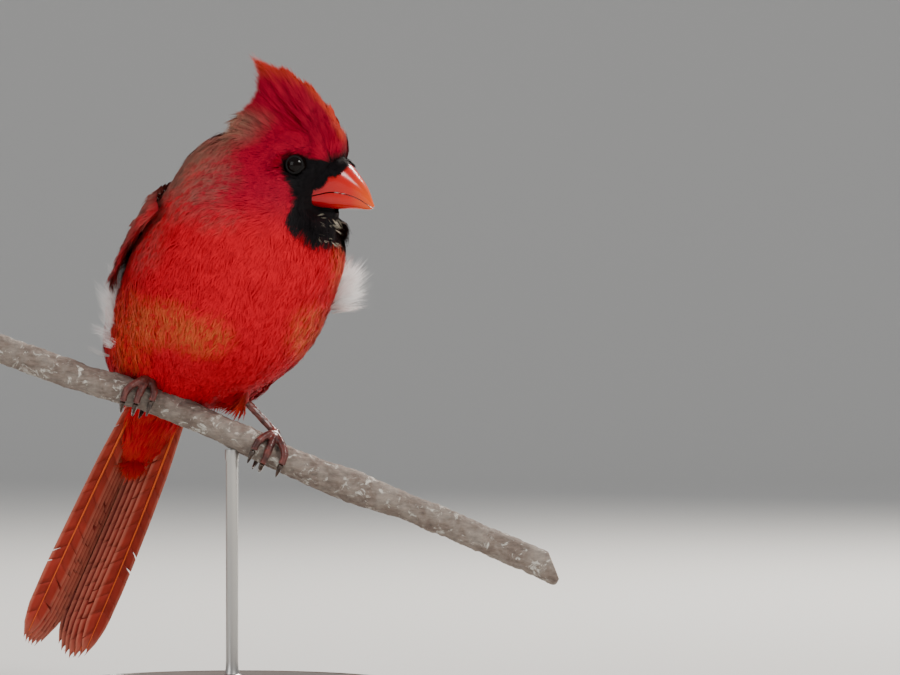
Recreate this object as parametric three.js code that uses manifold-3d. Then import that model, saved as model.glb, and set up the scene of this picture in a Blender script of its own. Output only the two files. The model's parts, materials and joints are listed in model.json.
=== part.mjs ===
// A life-size museum model of a male northern cardinal, perched on a short cut branch over a plain stand.
// Millimetres, +Z up, origin at the centre of the stand's underside. Seen from the front, looking along +Y,
// the breast faces the viewer, the head turns to the right and the tail hangs down to the left.
import * as THREE from "three";
import { mergeVertices } from "three/addons/utils/BufferGeometryUtils.js";
import Module from "manifold-3d";

const wasm = await Module();
wasm.setup();

const point = (x, y, z) => new THREE.Vector3(x, y, z);
const radians = THREE.MathUtils.degToRad;
const { lerp, clamp, smoothstep } = THREE.MathUtils;

// Sizes shared by every piece
const GAP = 0.3; // between two pieces that touch
const VANE_THICKNESS = 0.55;

// Pose, as yaw from the viewer towards the right, pitch above the horizon, and roll towards the bird's left
const TORSO_CENTRE = point(-3, 6, 133);
const TORSO_YAW = 42;
const TORSO_PITCH = 55;
const TORSO_ROLL = 26;
const HEAD_CENTRE = point(19.4, -14, 174.4);
const HEAD_YAW = 72;
const HEAD_PITCH = -6;
const TAIL_ROOT = point(-23.3, 29, 107);
const TAIL_TIP = point(-64, 56, 17);

// Frame with +X along forward, +Y to the bird's left and +Z along its back or crown
function frameAlong(origin, forward, upHint) {
  const x = forward.clone().normalize();
  const y = upHint.clone().cross(x).normalize();
  const z = x.clone().cross(y);
  return new THREE.Matrix4().makeBasis(x, y, z).setPosition(origin);
}

function posedFrame(origin, yaw, pitch, roll) {
  const y = radians(yaw);
  const p = radians(pitch);
  const forward = point(Math.sin(y) * Math.cos(p), -Math.cos(y) * Math.cos(p), Math.sin(p));
  const up = point(0, 0, 1).applyAxisAngle(forward, -radians(roll));
  return frameAlong(origin, forward, up);
}

const torsoFrame = posedFrame(TORSO_CENTRE, TORSO_YAW, TORSO_PITCH, TORSO_ROLL);
const headFrame = posedFrame(HEAD_CENTRE, HEAD_YAW, HEAD_PITCH, 0);
const torsoDorsal = point(0, 0, 1).transformDirection(torsoFrame);
const tailFrame = frameAlong(TAIL_ROOT, TAIL_TIP.clone().sub(TAIL_ROOT), torsoDorsal.clone().negate());

// Solids

function signedVolume(geometry) {
  const position = geometry.attributes.position;
  const corner = (i) => new THREE.Vector3().fromBufferAttribute(position, geometry.index.getX(i));
  let sum = 0;
  for (let i = 0; i < geometry.index.count; i += 3) {
    sum += corner(i).dot(corner(i + 1).cross(corner(i + 2)));
  }
  return sum / 6;
}

function facingOut(geometry) {
  if (signedVolume(geometry) < 0) {
    const index = geometry.index.array;
    for (let i = 0; i < index.length; i += 3) {
      [index[i + 1], index[i + 2]] = [index[i + 2], index[i + 1]];
    }
  }
  return geometry;
}

const MERGE_DISTANCE = 1e-4;

// A geometry as a closed solid, in the part's own frame
function solid(geometry, frame = new THREE.Matrix4()) {
  const bare = geometry.clone();
  bare.deleteAttribute("normal");
  bare.deleteAttribute("uv");
  const merged = facingOut(mergeVertices(bare.applyMatrix4(frame), MERGE_DISTANCE));
  return new wasm.Manifold(
    new wasm.Mesh({
      numProp: 3,
      vertProperties: new Float32Array(merged.attributes.position.array),
      triVerts: new Uint32Array(merged.index.array),
    }),
  );
}

const united = (solids) => solids.reduce((sum, next) => sum.add(next));

function largestBody(body) {
  const bodies = body.decompose();
  return bodies.reduce((best, next) => (next.volume() > best.volume() ? next : best));
}

function geometryOf(body) {
  const mesh = largestBody(body).getMesh();
  const geometry = new THREE.BufferGeometry();
  geometry.setAttribute("position", new THREE.BufferAttribute(new Float32Array(mesh.vertProperties), 3));
  geometry.setIndex(new THREE.BufferAttribute(new Uint32Array(mesh.triVerts), 1));
  geometry.computeVertexNormals();
  return geometry;
}

// A closed tube through rings of the same even number of points. Opposite halves of each ring are split
// into triangles alike, so that a thin blade's two faces never cross.
function loft(rings) {
  const sides = rings[0].length;
  const half = sides / 2;
  const vertices = rings.flat().flatMap((p) => [p.x, p.y, p.z]);
  const index = [];
  for (let i = 0; i + 1 < rings.length; i++) {
    for (let j = 0; j < sides; j++) {
      const a = i * sides + j;
      const b = i * sides + ((j + 1) % sides);
      const c = b + sides;
      const d = a + sides;
      if (j < half) index.push(a, b, c, a, c, d);
      else index.push(a, b, d, b, c, d);
    }
  }
  const last = (rings.length - 1) * sides;
  for (let k = 0; k + 1 < half; k++) {
    const [a, b, c, d] = [k, k + 1, sides - 2 - k, sides - 1 - k];
    index.push(a, c, b, a, d, c);
    index.push(last + a, last + b, last + c, last + a, last + c, last + d);
  }
  const geometry = new THREE.BufferGeometry();
  geometry.setAttribute("position", new THREE.Float32BufferAttribute(vertices, 3));
  geometry.setIndex(index);
  return facingOut(geometry);
}

// A round tube through stations of centre and radius, with rings square to the path
function tube(stations, sides, sideHint = point(0, 1, 0)) {
  const rings = stations.map(({ centre, radius }, i) => {
    const before = stations[Math.max(i - 1, 0)].centre;
    const after = stations[Math.min(i + 1, stations.length - 1)].centre;
    const along = after.clone().sub(before).normalize();
    const u = sideHint.clone().cross(along).normalize();
    const v = along.clone().cross(u);
    return Array.from({ length: sides }, (_, j) => {
      const angle = (2 * Math.PI * (j + 0.5)) / sides;
      const offset = u.clone().multiplyScalar(radius * Math.cos(angle));
      return offset.addScaledVector(v, radius * Math.sin(angle)).add(centre);
    });
  });
  return loft(rings);
}

// A feather's blade through stations of centre, along, up and half width
function vane(stations, thickness) {
  const rings = stations.map(({ centre, along, up, half }) => {
    const across = up.clone().cross(along).normalize();
    const at = (side, height) => {
      return centre.clone().addScaledVector(across, side * half).addScaledVector(up, height);
    };
    const h = thickness / 2;
    return [at(-1, h), at(1, h), at(1, -h), at(-1, -h)];
  });
  return loft(rings);
}

// Outlines of feathers: shares of the length, with the width there as a share of the greatest
const FLIGHT_OUTLINE = [[0, 0.55], [0.7, 1], [1, 0.4]];
const COVERT_OUTLINE = [[0, 0.7], [0.65, 1], [1, 0.4]];

// A blade whose centre and up direction are functions of the share of its length
function feather(outline, halfWidth, centreAt, upAt, thickness = VANE_THICKNESS) {
  const step = 0.02; // of the length, to either side, for the blade's direction
  const stations = outline.map(([share, width]) => ({
    centre: centreAt(share),
    along: centreAt(Math.min(share + step, 1)).sub(centreAt(Math.max(share - step, 0))).normalize(),
    up: upAt(share),
    half: halfWidth * width,
  }));
  return vane(stations, thickness);
}

// The rounded form of torso, neck and head: ellipsoids blended into one skin

function ellipsoid(frame, centre, radii) {
  const inverse = frame.clone().multiply(new THREE.Matrix4().makeTranslation(centre)).invert();
  const square = radii.clone().multiply(radii);
  return (p) => {
    const q = p.clone().applyMatrix4(inverse);
    const near = q.clone().divide(radii).length();
    return (near * (near - 1)) / Math.max(q.divide(square).length(), 1e-6);
  };
}

function blended(forms, blend) {
  return (p) =>
    forms.map((form) => form(p)).reduce((a, b) => {
      const overlap = Math.max(blend - Math.abs(a - b), 0) / blend;
      return Math.min(a, b) - (overlap * overlap * blend) / 4;
    });
}

const torsoForms = [
  ellipsoid(torsoFrame, point(8, -1.5, -3), point(36, 33, 32)), // belly and breast
  ellipsoid(torsoFrame, point(26, 0.5, -3), point(25, 29, 27)), // upper breast
  ellipsoid(torsoFrame, point(23, -2.5, 8), point(25, 25.5, 19.5)), // mantle
  ellipsoid(torsoFrame, point(-13, 15, 4), point(24, 13, 16)), // left flank
  ellipsoid(torsoFrame, point(-14, -18.5, 2), point(26, 14, 17)), // right flank
  ellipsoid(torsoFrame, point(-20, -4, -7), point(16, 18, 15)), // lower belly
  ellipsoid(torsoFrame, point(-27, -1, 8), point(20, 15, 12)), // rump
];
const skullForms = [
  ellipsoid(headFrame, point(0, 0, 0), point(17.5, 13.4, 15.5)),
  ellipsoid(headFrame, point(8.5, 0, 6), point(9.5, 9.5, 9)), // forehead
  ellipsoid(headFrame, point(7, 0, -8), point(11.5, 11, 9)), // cheeks and chin
];
const neckForms = [
  ellipsoid(headFrame, point(-8, 0, -13), point(22, 21, 17)),
  ellipsoid(headFrame, point(-16, 2, -5), point(19, 15, 16.5)), // nape
];
const BLEND = 7; // how broadly the forms run into each other
const wholeBody = blended([...torsoForms, ...neckForms, ...skullForms], BLEND);

const MARCH = 0.5; // coarse step outwards, halved HALVINGS times at the surface
const HALVINGS = 12;

// Distance from a start to where the field first reaches a level, going outwards
function reach(field, start, direction, level) {
  const at = (distance) => field(start.clone().addScaledVector(direction, distance)) - level;
  let far = 0;
  while (at(far) < 0) far += MARCH;
  let near = Math.max(far - MARCH, 0);
  for (let i = 0; i < HALVINGS; i++) {
    const middle = (near + far) / 2;
    if (at(middle) < 0) near = middle;
    else far = middle;
  }
  return (near + far) / 2;
}

// A sphere's vertices moved out to the field's surface, seen from a centre inside it
function skin(field, frame, centre, sectors, rings, grow = 0) {
  const ball = new THREE.SphereGeometry(1, sectors, rings);
  ball.rotateZ(-Math.PI / 2).applyMatrix4(new THREE.Matrix4().extractRotation(frame));
  const start = centre.clone().applyMatrix4(frame);
  const position = ball.attributes.position;
  for (let i = 0; i < position.count; i++) {
    const direction = new THREE.Vector3().fromBufferAttribute(position, i).normalize();
    const p = start.clone().addScaledVector(direction, reach(field, start, direction, grow));
    position.setXYZ(i, p.x, p.y, p.z);
  }
  return solid(ball);
}

// Where the body is parted, as planes facing the head
const NECK_PLANES = {
  torso: { at: point(8, -8, 153), normal: point(0.36, -0.3, 0.885).normalize() },
  head: { at: point(14, -12, 165.5), normal: point(0.3, -0.12, 0.946).normalize() },
};

function above({ at, normal }, body) {
  return body.trimByPlane(normal.toArray(), normal.dot(at) + GAP / 2);
}

function below({ at, normal }, body) {
  return body.trimByPlane(normal.clone().negate().toArray(), -normal.dot(at) + GAP / 2);
}

const SKIN_RINGS = 20;
const TORSO_SECTORS = 28;
const HEAD_SECTORS = 26;
const CENTRE = point(0, 0, 0);
const NECK_START = point(-6, 0, -13);
const torsoSkin = skin(wholeBody, torsoFrame, CENTRE, TORSO_SECTORS, SKIN_RINGS);
const torsoRoom = skin(wholeBody, torsoFrame, CENTRE, TORSO_SECTORS, SKIN_RINGS, GAP);
const neckSkin = skin(wholeBody, headFrame, NECK_START, HEAD_SECTORS, SKIN_RINGS);
const headSkin = skin(wholeBody, headFrame, CENTRE, HEAD_SECTORS, SKIN_RINGS);
const headRoom = skin(wholeBody, headFrame, CENTRE, HEAD_SECTORS, SKIN_RINGS, GAP);

// Perch: a cut length of branch, bare and gently crooked, falling towards the right
const PERCH_RADIUS = 4.7;
const PERCH_SIDES = 10;
const PERCH_STATIONS = 22;
const PERCH_KNOT = { x: 37.4, width: 7, height: 1 };
const perchLine = new THREE.CatmullRomCurve3([
  point(-78, 0, 118.8),
  point(-42.6, 0, 106.3),
  point(-31.9, 0, 103.4),
  point(-10, 0, 94.8),
  point(20.3, 0, 80.5),
  point(37.4, 0, 73.7),
  point(60.6, 0, 65),
  point(106, 0, 45.4),
]);

function perchRadius(x) {
  const knot = PERCH_KNOT.height * Math.exp(-(((x - PERCH_KNOT.x) / PERCH_KNOT.width) ** 2));
  return PERCH_RADIUS + knot + 0.2 * Math.sin(0.31 * x) + 0.12 * Math.sin(0.83 * x + 1);
}

function perch(grow = 0) {
  const stations = Array.from({ length: PERCH_STATIONS + 1 }, (_, i) => {
    const centre = perchLine.getPointAt(i / PERCH_STATIONS);
    return { centre, radius: perchRadius(centre.x) + grow };
  });
  return solid(tube(stations, PERCH_SIDES));
}

// The perch's centre and its own upward direction below a given x
function perchAt(x) {
  let [low, high] = [0, 1];
  for (let i = 0; i < 20; i++) {
    const middle = (low + high) / 2;
    if (perchLine.getPointAt(middle).x < x) low = middle;
    else high = middle;
  }
  const centre = perchLine.getPointAt(low);
  const along = perchLine.getTangentAt(low);
  return { centre, up: point(-along.z, 0, along.x).normalize(), radius: perchRadius(x) };
}

// Feet: a scaly shank and four toes wrapped round the perch, each ending in a curved claw.
// Angles run round the perch from its top, positive towards the viewer.
const TOE_RADIUS = 1.35;
const TOE_STAND_OFF = TOE_RADIUS * 1.2 + GAP; // from the bark to a toe's middle
const TOE_SIDES = 6;
const TOE_STATIONS = 7;
const CLAW_ROOT_RADIUS = 0.95;
const CLAW_TIP_RADIUS = 0.18;
const CLAW_CURL = 7; // radius that a claw bends round
const SHANK_RADIUS = 1.35;
const legs = {
  left: {
    footX: 11.2,
    thigh: [point(-2, 7, 108), point(4.8, 1.8, 100.4)],
    toes: [
      { spread: -3.4, end: 100, claw: 5.5 },
      { spread: 0.6, end: 126, claw: 8.5 },
      { spread: 5.6, end: 104, claw: 5.5 },
      { spread: -1.5, end: -112, claw: 7.5 },
    ],
  },
  right: {
    footX: -28.5,
    thigh: [point(-22, -2, 119), point(-27.6, -1.2, 112)],
    toes: [
      { spread: -5.4, end: 118, claw: 6 },
      { spread: -1.2, end: 112, claw: 7 },
      { spread: 3, end: 92, claw: 5.5 },
      { spread: 0.8, end: -112, claw: 7.5 },
    ],
  },
};

// A point at an angle round the perch, and the direction in which that angle grows
function roundPerch(x, angle, distance) {
  const { centre, up, radius } = perchAt(x);
  const turn = radians(angle);
  const out = up.clone().multiplyScalar(Math.cos(turn)).add(point(0, -Math.sin(turn), 0));
  const tangent = up.clone().multiplyScalar(-Math.sin(turn)).add(point(0, -Math.cos(turn), 0));
  return { at: centre.clone().addScaledVector(out, radius + distance), out, tangent };
}

function toe(leg, { spread, end }, grow = 0, count = TOE_STATIONS, sides = TOE_SIDES) {
  const start = 8 * Math.sign(end);
  const stations = Array.from({ length: count + 1 }, (_, i) => {
    const share = i / count;
    const x = leg.footX + spread * smoothstep(share, 0, 0.8);
    const pads = 1 + 0.1 * Math.cos(share * Math.PI * 6);
    const radius = TOE_RADIUS * lerp(1.1, 0.82, share) * pads;
    const { at } = roundPerch(x, lerp(start, end, share), TOE_STAND_OFF);
    return { centre: at, radius: radius + grow };
  });
  return solid(tube(stations, sides, point(1, 0, 0)));
}

// A claw leaves its toe along the toe's own direction and bends in towards the perch
function claw(leg, { spread, end, claw: length }) {
  const sense = Math.sign(end);
  const { at, out, tangent } = roundPerch(leg.footX + spread, end, TOE_STAND_OFF);
  const count = 4;
  const stations = Array.from({ length: count + 1 }, (_, i) => {
    const share = i / count;
    const bend = (share * length) / CLAW_CURL;
    const centre = at.clone()
      .addScaledVector(tangent, sense * (CLAW_CURL * Math.sin(bend) + GAP))
      .addScaledVector(out, -CLAW_CURL * (1 - Math.cos(bend)) + 0.25);
    return { centre, radius: lerp(CLAW_ROOT_RADIUS, CLAW_TIP_RADIUS, share ** 1.3) };
  });
  return solid(tube(stations, 6, point(1, 0, 0)));
}

function thigh(leg, grow = 0) {
  const [top, bottom] = leg.thigh;
  const radii = [7, 6.4, 4.6, 3, 2.1];
  const stations = radii.map((radius, i) => ({
    centre: top.clone().lerp(bottom, i / (radii.length - 1)),
    radius: radius + grow,
  }));
  return solid(tube(stations, 12));
}

const footCentre = (leg) => roundPerch(leg.footX, 0, SHANK_RADIUS + GAP + 0.2).at;

function legBody(leg) {
  const [top, bottom] = leg.thigh;
  const foot = footCentre(leg);
  const start = bottom.clone().addScaledVector(bottom.clone().sub(top).normalize(), GAP);
  const rings = 5;
  const stations = Array.from({ length: rings + 1 }, (_, i) => {
    const scute = i % 2 ? 0.1 : -0.05;
    return { centre: start.clone().lerp(foot, i / rings), radius: SHANK_RADIUS + scute };
  });
  const shank = solid(tube(stations, 6));
  const ankle = new THREE.SphereGeometry(SHANK_RADIUS * 1.25, 8, 6);
  const pieces = leg.toes.map((each) => toe(leg, each));
  return united([shank, solid(ankle.translate(...foot.toArray())), ...pieces]);
}

function ankleRoom(leg) {
  return solid(new THREE.SphereGeometry(SHANK_RADIUS * 2.2, 8, 6).translate(...footCentre(leg).toArray()));
}

// The space that a foot keeps free of feathers
function footRoom(leg) {
  const ends = [leg.thigh[1], footCentre(leg)];
  const shank = ends.map((centre) => ({ centre, radius: SHANK_RADIUS + 2 * GAP }));
  const toes = leg.toes.map((each) => toe(leg, each, 3 * GAP, 5, 6));
  return united([ankleRoom(leg), solid(tube(shank, 6)), ...toes]);
}

// Bill: a deep cone in two halves that meet along an angled line
const CULMEN = [[15.2, 6], [19.4, 4.5], [23.1, 1.1], [26.4, -2.8], [29.3, -8.4]];
const CUTTING_EDGE = [[8.2, -7.8], [12.6, -6.3], [17.4, -5], [23.6, -5.9], [28.9, -8.6]];
const GONYS = [[8, -10.6], [12.4, -10.7], [17.8, -10.4], [23, -9.9], [27.6, -9.7]];
const BILL_HALF_WIDTHS = [9.4, 8.2, 6.2, 3.6, 0.5];
const BILL_ARC = 5; // points from edge over ridge to edge
const BILL_FULLNESS = 0.8; // below 1 for a rounder arch
const BILL_LIP = 0.35; // the mouth side's depth beyond the cutting edge

// A half bill: an arch from one edge over the ridge to the other, closed by its flat mouth side
function billHalf(ridge, edge, widths, grow) {
  const rings = ridge.map(([ridgeF, ridgeU], i) => {
    const [edgeF, edgeU] = edge[i];
    const toRidge = point(ridgeF - edgeF, 0, ridgeU - edgeU);
    const rise = toRidge.length();
    const outward = toRidge.clone().normalize();
    const arch = Array.from({ length: BILL_ARC }, (_, j) => {
      const angle = Math.PI * (1 - j / (BILL_ARC - 1));
      const side = (widths[i] + grow) * Math.cos(angle);
      const height = (rise + grow) * Math.sin(angle) ** BILL_FULLNESS;
      return point(edgeF, side, edgeU).addScaledVector(outward, height);
    });
    const mouth = arch.map((_, j) => {
      const side = (widths[i] * 0.9 + grow) * (1 - (2 * j) / (BILL_ARC - 1));
      return point(edgeF, side, edgeU).addScaledVector(outward, -BILL_LIP - grow);
    });
    return [...arch, ...mouth].map((p) => p.applyMatrix4(headFrame));
  });
  return solid(loft(rings));
}

function upperBill(grow = 0) {
  return billHalf(CULMEN, CUTTING_EDGE, BILL_HALF_WIDTHS, grow);
}

function lowerBill(grow = 0) {
  const edge = CUTTING_EDGE.map(([f, u]) => [f - 0.5, u - 0.9]);
  return billHalf(GONYS, edge, BILL_HALF_WIDTHS.map((half) => half * 0.9), grow);
}

const NOSTRIL = { f: 17.6, l: 6.3, u: 0.8, radius: 0.8 };
const EYE = { f: 5.5, u: 2.2, radius: 3.6, proud: 0.7 };
const LID = { radius: 2.75, thickness: 0.55 };
const eyes = { left: 1, right: -1 };

// How far out from the head's middle the cheek lies beside the eye
function cheekAt(side) {
  const middle = point(EYE.f, 0, EYE.u).applyMatrix4(headFrame);
  return side * reach(wholeBody, middle, point(0, side, 0).transformDirection(headFrame), 0);
}

const eyeCentre = (side) => cheekAt(side) - side * (EYE.radius - EYE.proud);

function ball(radius, f, l, u, sectors = 11, rings = 8) {
  return solid(new THREE.SphereGeometry(radius, sectors, rings).translate(f, l, u), headFrame);
}

function lidRing(side) {
  const ring = new THREE.TorusGeometry(LID.radius, LID.thickness, 5, 12);
  return solid(ring.rotateX(Math.PI / 2).translate(EYE.f, cheekAt(side), EYE.u), headFrame);
}

// Crest: blades in columns over the crown, each bending back from its root to its tip.
// Roots and tips are forward and up from the head's centre, in the head's own frame.
const CREST_COLUMNS = [
  {
    sides: [0],
    blades: [
      { root: [15, 8], tip: [10.4, 22], bow: 1.6 },
      { root: [12.6, 11], tip: [3.4, 28.6], bow: 1.8 },
      { root: [10, 13], tip: [-4.4, 33], bow: 2.4 },
      { root: [7.5, 14], tip: [-17.5, 35.8], bow: 2.8 },
      { root: [3, 14], tip: [-14, 28.8], bow: 2 },
      { root: [-1, 14], tip: [-14, 24.6], bow: 1.6 },
      { root: [-5, 13], tip: [-17.5, 19.6], bow: 1.4 },
      { root: [-9, 11], tip: [-23, 14.4], bow: 1.6 },
    ],
  },
  {
    sides: [-1, 1],
    blades: [
      { root: [13.4, 8.4], tip: [9, 20.6], bow: 1.4 },
      { root: [10.6, 11.5], tip: [1.4, 27.4], bow: 1.6 },
      { root: [8, 12.5], tip: [-6, 31], bow: 2.2 },
      { root: [4, 13], tip: [-12.5, 31.5], bow: 2.2 },
      { root: [-1, 13], tip: [-14, 22.6], bow: 1.8 },
      { root: [-6, 11.5], tip: [-20.5, 16], bow: 1.6 },
    ],
  },
];
const CREST_SIDE = 2.9;
const CREST_HALF_WIDTH = 2.6;
const CREST_THICKNESS = 0.8;
const CREST_CORE = { radii: [13, 6.4, 9], tilt: 12, at: [-1.5, 0, 13.5] };
const CREST_OUTLINE = [[0, 0.8], [0.4, 1], [0.75, 0.6], [1, 0.15]];

function crestBlade({ root, tip, bow }, side) {
  const start = point(root[0], side * CREST_SIDE, root[1]);
  const end = point(tip[0], side * CREST_SIDE * 0.3, tip[1]);
  const along = end.clone().sub(start).normalize();
  const forward = point(0, 1, 0).cross(along).multiplyScalar(-bow);
  if (forward.x < 0) forward.negate();
  const control = start.clone().lerp(end, 0.5).add(forward.multiplyScalar(2));
  const path = new THREE.QuadraticBezierCurve3(start, control, end);
  const lean = point(0.08, 1, side * 0.25).normalize();
  const centreAt = (share) => path.getPoint(clamp(share, 0, 1)).applyMatrix4(headFrame);
  const upAt = () => lean.clone().transformDirection(headFrame);
  return solid(feather(CREST_OUTLINE, CREST_HALF_WIDTH, centreAt, upAt, CREST_THICKNESS));
}

function crest() {
  const core = new THREE.SphereGeometry(1, 14, 10);
  core.scale(...CREST_CORE.radii).rotateY(radians(CREST_CORE.tilt)).translate(...CREST_CORE.at);
  const blades = CREST_COLUMNS.flatMap(({ sides, blades: row }) =>
    sides.flatMap((side) => row.map((each) => crestBlade(each, side))),
  );
  return united([solid(core, headFrame), ...blades]);
}

// Tail: twelve long feathers in six levels, the middle pair on top, closed to a narrow blade with a
// shallow notch, under short coverts above and below. Its frame runs root to tip, with +Z on its underside.
const TAIL_LENGTHS = [96.5, 98.5, 99.5, 99.5, 98, 96];
const TAIL_LEVEL = 0.9;
const TAIL_START = 2;
const TAIL_HALF_WIDTH = 3.4;
const TAIL_CORE = { radii: [19, 9, 5.4], at: [9, 0, 2.6] };
const TAIL_OUTLINE = [[0, 0.55], [0.5, 0.92], [0.9, 1], [1, 0.45]];
const UNDER_COVERTS = { length: 37, rows: [-6.2, -2.1, 2.1, 6.2], level: 6.4 };
const UPPER_COVERTS = { length: 34, rows: [-4.6, 0, 4.6], level: -1.2 };

function tailFeather(index, side) {
  const rootY = side * (0.8 + index * 1.35);
  const tipY = side * (3 + index * 1.5);
  const level = index * TAIL_LEVEL + (side > 0 ? TAIL_LEVEL / 2 : 0);
  const length = TAIL_LENGTHS[index];
  const centreAt = (share) =>
    point(lerp(TAIL_START, length, share), lerp(rootY, tipY, share), level).applyMatrix4(tailFrame);
  const upAt = () => point(0, 0, 1).transformDirection(tailFrame);
  return solid(feather(TAIL_OUTLINE, TAIL_HALF_WIDTH, centreAt, upAt));
}

function tailCovert({ length, rows, level }, y) {
  const edge = Math.abs(y) / Math.max(...rows);
  const reachTo = length * (1 - 0.22 * edge);
  const outward = Math.sign(level);
  const centreAt = (share) => {
    const height = level + outward * (1.2 * Math.sin(Math.PI * share) - 1.8 * edge * edge);
    return point(4 + (reachTo - 4) * share, y * lerp(0.85, 1.1, share), height).applyMatrix4(tailFrame);
  };
  const tilt = 0.35 * Math.sign(y) * edge;
  const upAt = () => point(0, tilt * outward, outward).normalize().transformDirection(tailFrame);
  return solid(feather(COVERT_OUTLINE, 3.8, centreAt, upAt));
}

function tail() {
  const core = new THREE.SphereGeometry(1, 12, 8);
  core.scale(...TAIL_CORE.radii).translate(...TAIL_CORE.at);
  const long = TAIL_LENGTHS.flatMap((_, index) => [-1, 1].map((side) => tailFeather(index, side)));
  const coverts = [UNDER_COVERTS, UPPER_COVERTS].flatMap((set) => set.rows.map((y) => tailCovert(set, y)));
  return united([solid(core, tailFrame), ...long, ...coverts]);
}

// Folded wings: a sheet laid over the body, between a lower and an upper edge in the torso's frame,
// with feathers in tiers from the bend of the wing back to the tip
const LOWER_EDGE = new THREE.CatmullRomCurve3([
  point(25, 26, -3),
  point(5, 33, 2),
  point(-17, 31, 7),
  point(-39, 19, 13),
  point(-61, 7, 17),
]);
const UPPER_EDGE = new THREE.CatmullRomCurve3([
  point(23, 12, 27),
  point(5, 8, 32),
  point(-17, 6, 30),
  point(-39, 4.5, 25),
  point(-59, 4, 20),
]);
const ON_BODY = { from: -42, to: -28 }; // along the torso, where the wing leaves the body
const WING_CLEARANCE = 0.5;

function outwardFrom(field, p) {
  const step = 0.2;
  const beside = (axis, distance) => field(p.clone().addScaledVector(axis, distance));
  const slope = (axis) => beside(axis, step) - beside(axis, -step);
  return point(slope(point(1, 0, 0)), slope(point(0, 1, 0)), slope(point(0, 0, 1))).normalize();
}

// A point of the wing, by shares from bend to tip and from lower to upper edge, at a height over the body
function onWing(side, along, across, height) {
  const local = LOWER_EDGE.getPoint(along).lerp(UPPER_EDGE.getPoint(along), across);
  const p = point(local.x, local.y * side, local.z).applyMatrix4(torsoFrame);
  const lift = wholeBody(p) - WING_CLEARANCE;
  const pull = lift < 0 ? 1 : smoothstep(local.x, ON_BODY.from, ON_BODY.to);
  const out = outwardFrom(wholeBody, p);
  const settled = p.addScaledVector(out, -lift * pull);
  return height ? settled.addScaledVector(wingNormal(side, along, across), height) : settled;
}

function wingNormal(side, along, across) {
  const step = 0.02;
  const before = onWing(side, Math.max(along - step, 0), across, 0);
  const back = onWing(side, Math.min(along + step, 1), across, 0).sub(before);
  const up = onWing(side, along, across + step, 0).sub(onWing(side, along, across - step, 0));
  return back.cross(up).multiplyScalar(side).normalize();
}

// Height of the wing's solid part over the body, thickest near the bend and along its middle
function coreTop(along, across) {
  const edge = 0.6;
  const swell = lerp(1.8, 1.2, smoothstep(along, 0.05, 0.5));
  return edge + swell * Math.sin(Math.PI * clamp(across, 0.02, 0.98)) ** 0.7;
}

function wingCore(side) {
  const stations = 6;
  const columns = 5;
  const rings = Array.from({ length: stations }, (_, i) => {
    const along = lerp(0.01, 0.6, i / (stations - 1));
    const across = Array.from({ length: columns }, (_, j) => lerp(0.06, 0.94, j / (columns - 1)));
    const top = across.map((v) => onWing(side, along, v, coreTop(along, v)));
    const bottom = across.map((v) => onWing(side, along, v, 0));
    return [...top, ...bottom.reverse()];
  });
  return solid(loft(rings));
}

// Tiers of the wing. Each gives its feathers' count and half width, where the first and last are rooted
// and where they end, as shares along and across the wing, and their height over the body.
const WING_TIERS = {
  primaries: {
    count: 6, half: 2.9, height: 0.95,
    roots: [[0.36, 0.1], [0.4, 0.5]],
    tips: [[0.86, 0.16], [1, 0.72]],
  },
  secondaries: {
    count: 4, half: 4.2, height: 1.85,
    roots: [[0.3, 0.2], [0.3, 0.66]],
    tips: [[0.66, 0.2], [0.78, 0.66]],
  },
  tertials: {
    count: 3, half: 3.8, height: 2.4,
    roots: [[0.26, 0.66], [0.2, 0.84]],
    tips: [[0.76, 0.72], [0.62, 0.84]],
  },
  greaterCoverts: {
    count: 5, half: 4.3, height: 2.4,
    roots: [[0.2, 0.12], [0.16, 0.86]],
    tips: [[0.45, 0.08], [0.4, 0.86]],
  },
  medianCoverts: {
    count: 3, half: 5.5, height: 2.5,
    roots: [[0.1, 0.14], [0.08, 0.84]],
    tips: [[0.27, 0.12], [0.24, 0.86]],
  },
  alula: {
    count: 2, half: 2.4, height: 1.9,
    roots: [[0.14, 0.1], [0.14, 0.18]],
    tips: [[0.4, 0.02], [0.34, 0.12]],
  },
};

const ROOT_DEPTH = 0.8; // how deep a wing feather's root is sunk in the wing
const LONG_FEATHER = 0.3; // of the wing's length, from which a feather is a flight feather

function wingFeather(side, tier, index) {
  const between = ([first, last], share) => first.map((value, i) => lerp(value, last[i], share));
  const share = index / (tier.count - 1);
  const root = between(tier.roots, share);
  const tip = between(tier.tips, share);
  const sunk = Math.min(coreTop(...root) - ROOT_DEPTH, tier.height);
  const height = (t) => lerp(sunk, tier.height, smoothstep(t, 0, 0.6));
  const centreAt = (t) => onWing(side, ...between([root, tip], t), height(t));
  const [first, last] = tier.roots.map((place) => onWing(side, ...place, 0));
  const spacing = first.distanceTo(last) / (tier.count - 1);
  const lean = (VANE_THICKNESS + GAP) / spacing; // clears the next feather of its tier
  const upAt = (t) => {
    const normal = wingNormal(side, ...between([root, tip], t));
    const along = centreAt(Math.min(t + 0.05, 1)).sub(centreAt(Math.max(t - 0.05, 0))).normalize();
    return normal.clone().addScaledVector(normal.clone().cross(along), lean * side).normalize();
  };
  const outline = tip[0] - root[0] > LONG_FEATHER ? FLIGHT_OUTLINE : COVERT_OUTLINE;
  return solid(feather(outline, tier.half, centreAt, upAt));
}

function wing(side) {
  const feathers = Object.values(WING_TIERS).flatMap((tier) =>
    Array.from({ length: tier.count }, (_, index) => wingFeather(side, tier, index)),
  );
  const middle = point(0, side, 0).transformDirection(torsoFrame);
  const offset = middle.dot(TORSO_CENTRE) + GAP / 2;
  return united([wingCore(side), ...feathers]).trimByPlane(middle.toArray(), offset);
}

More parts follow.
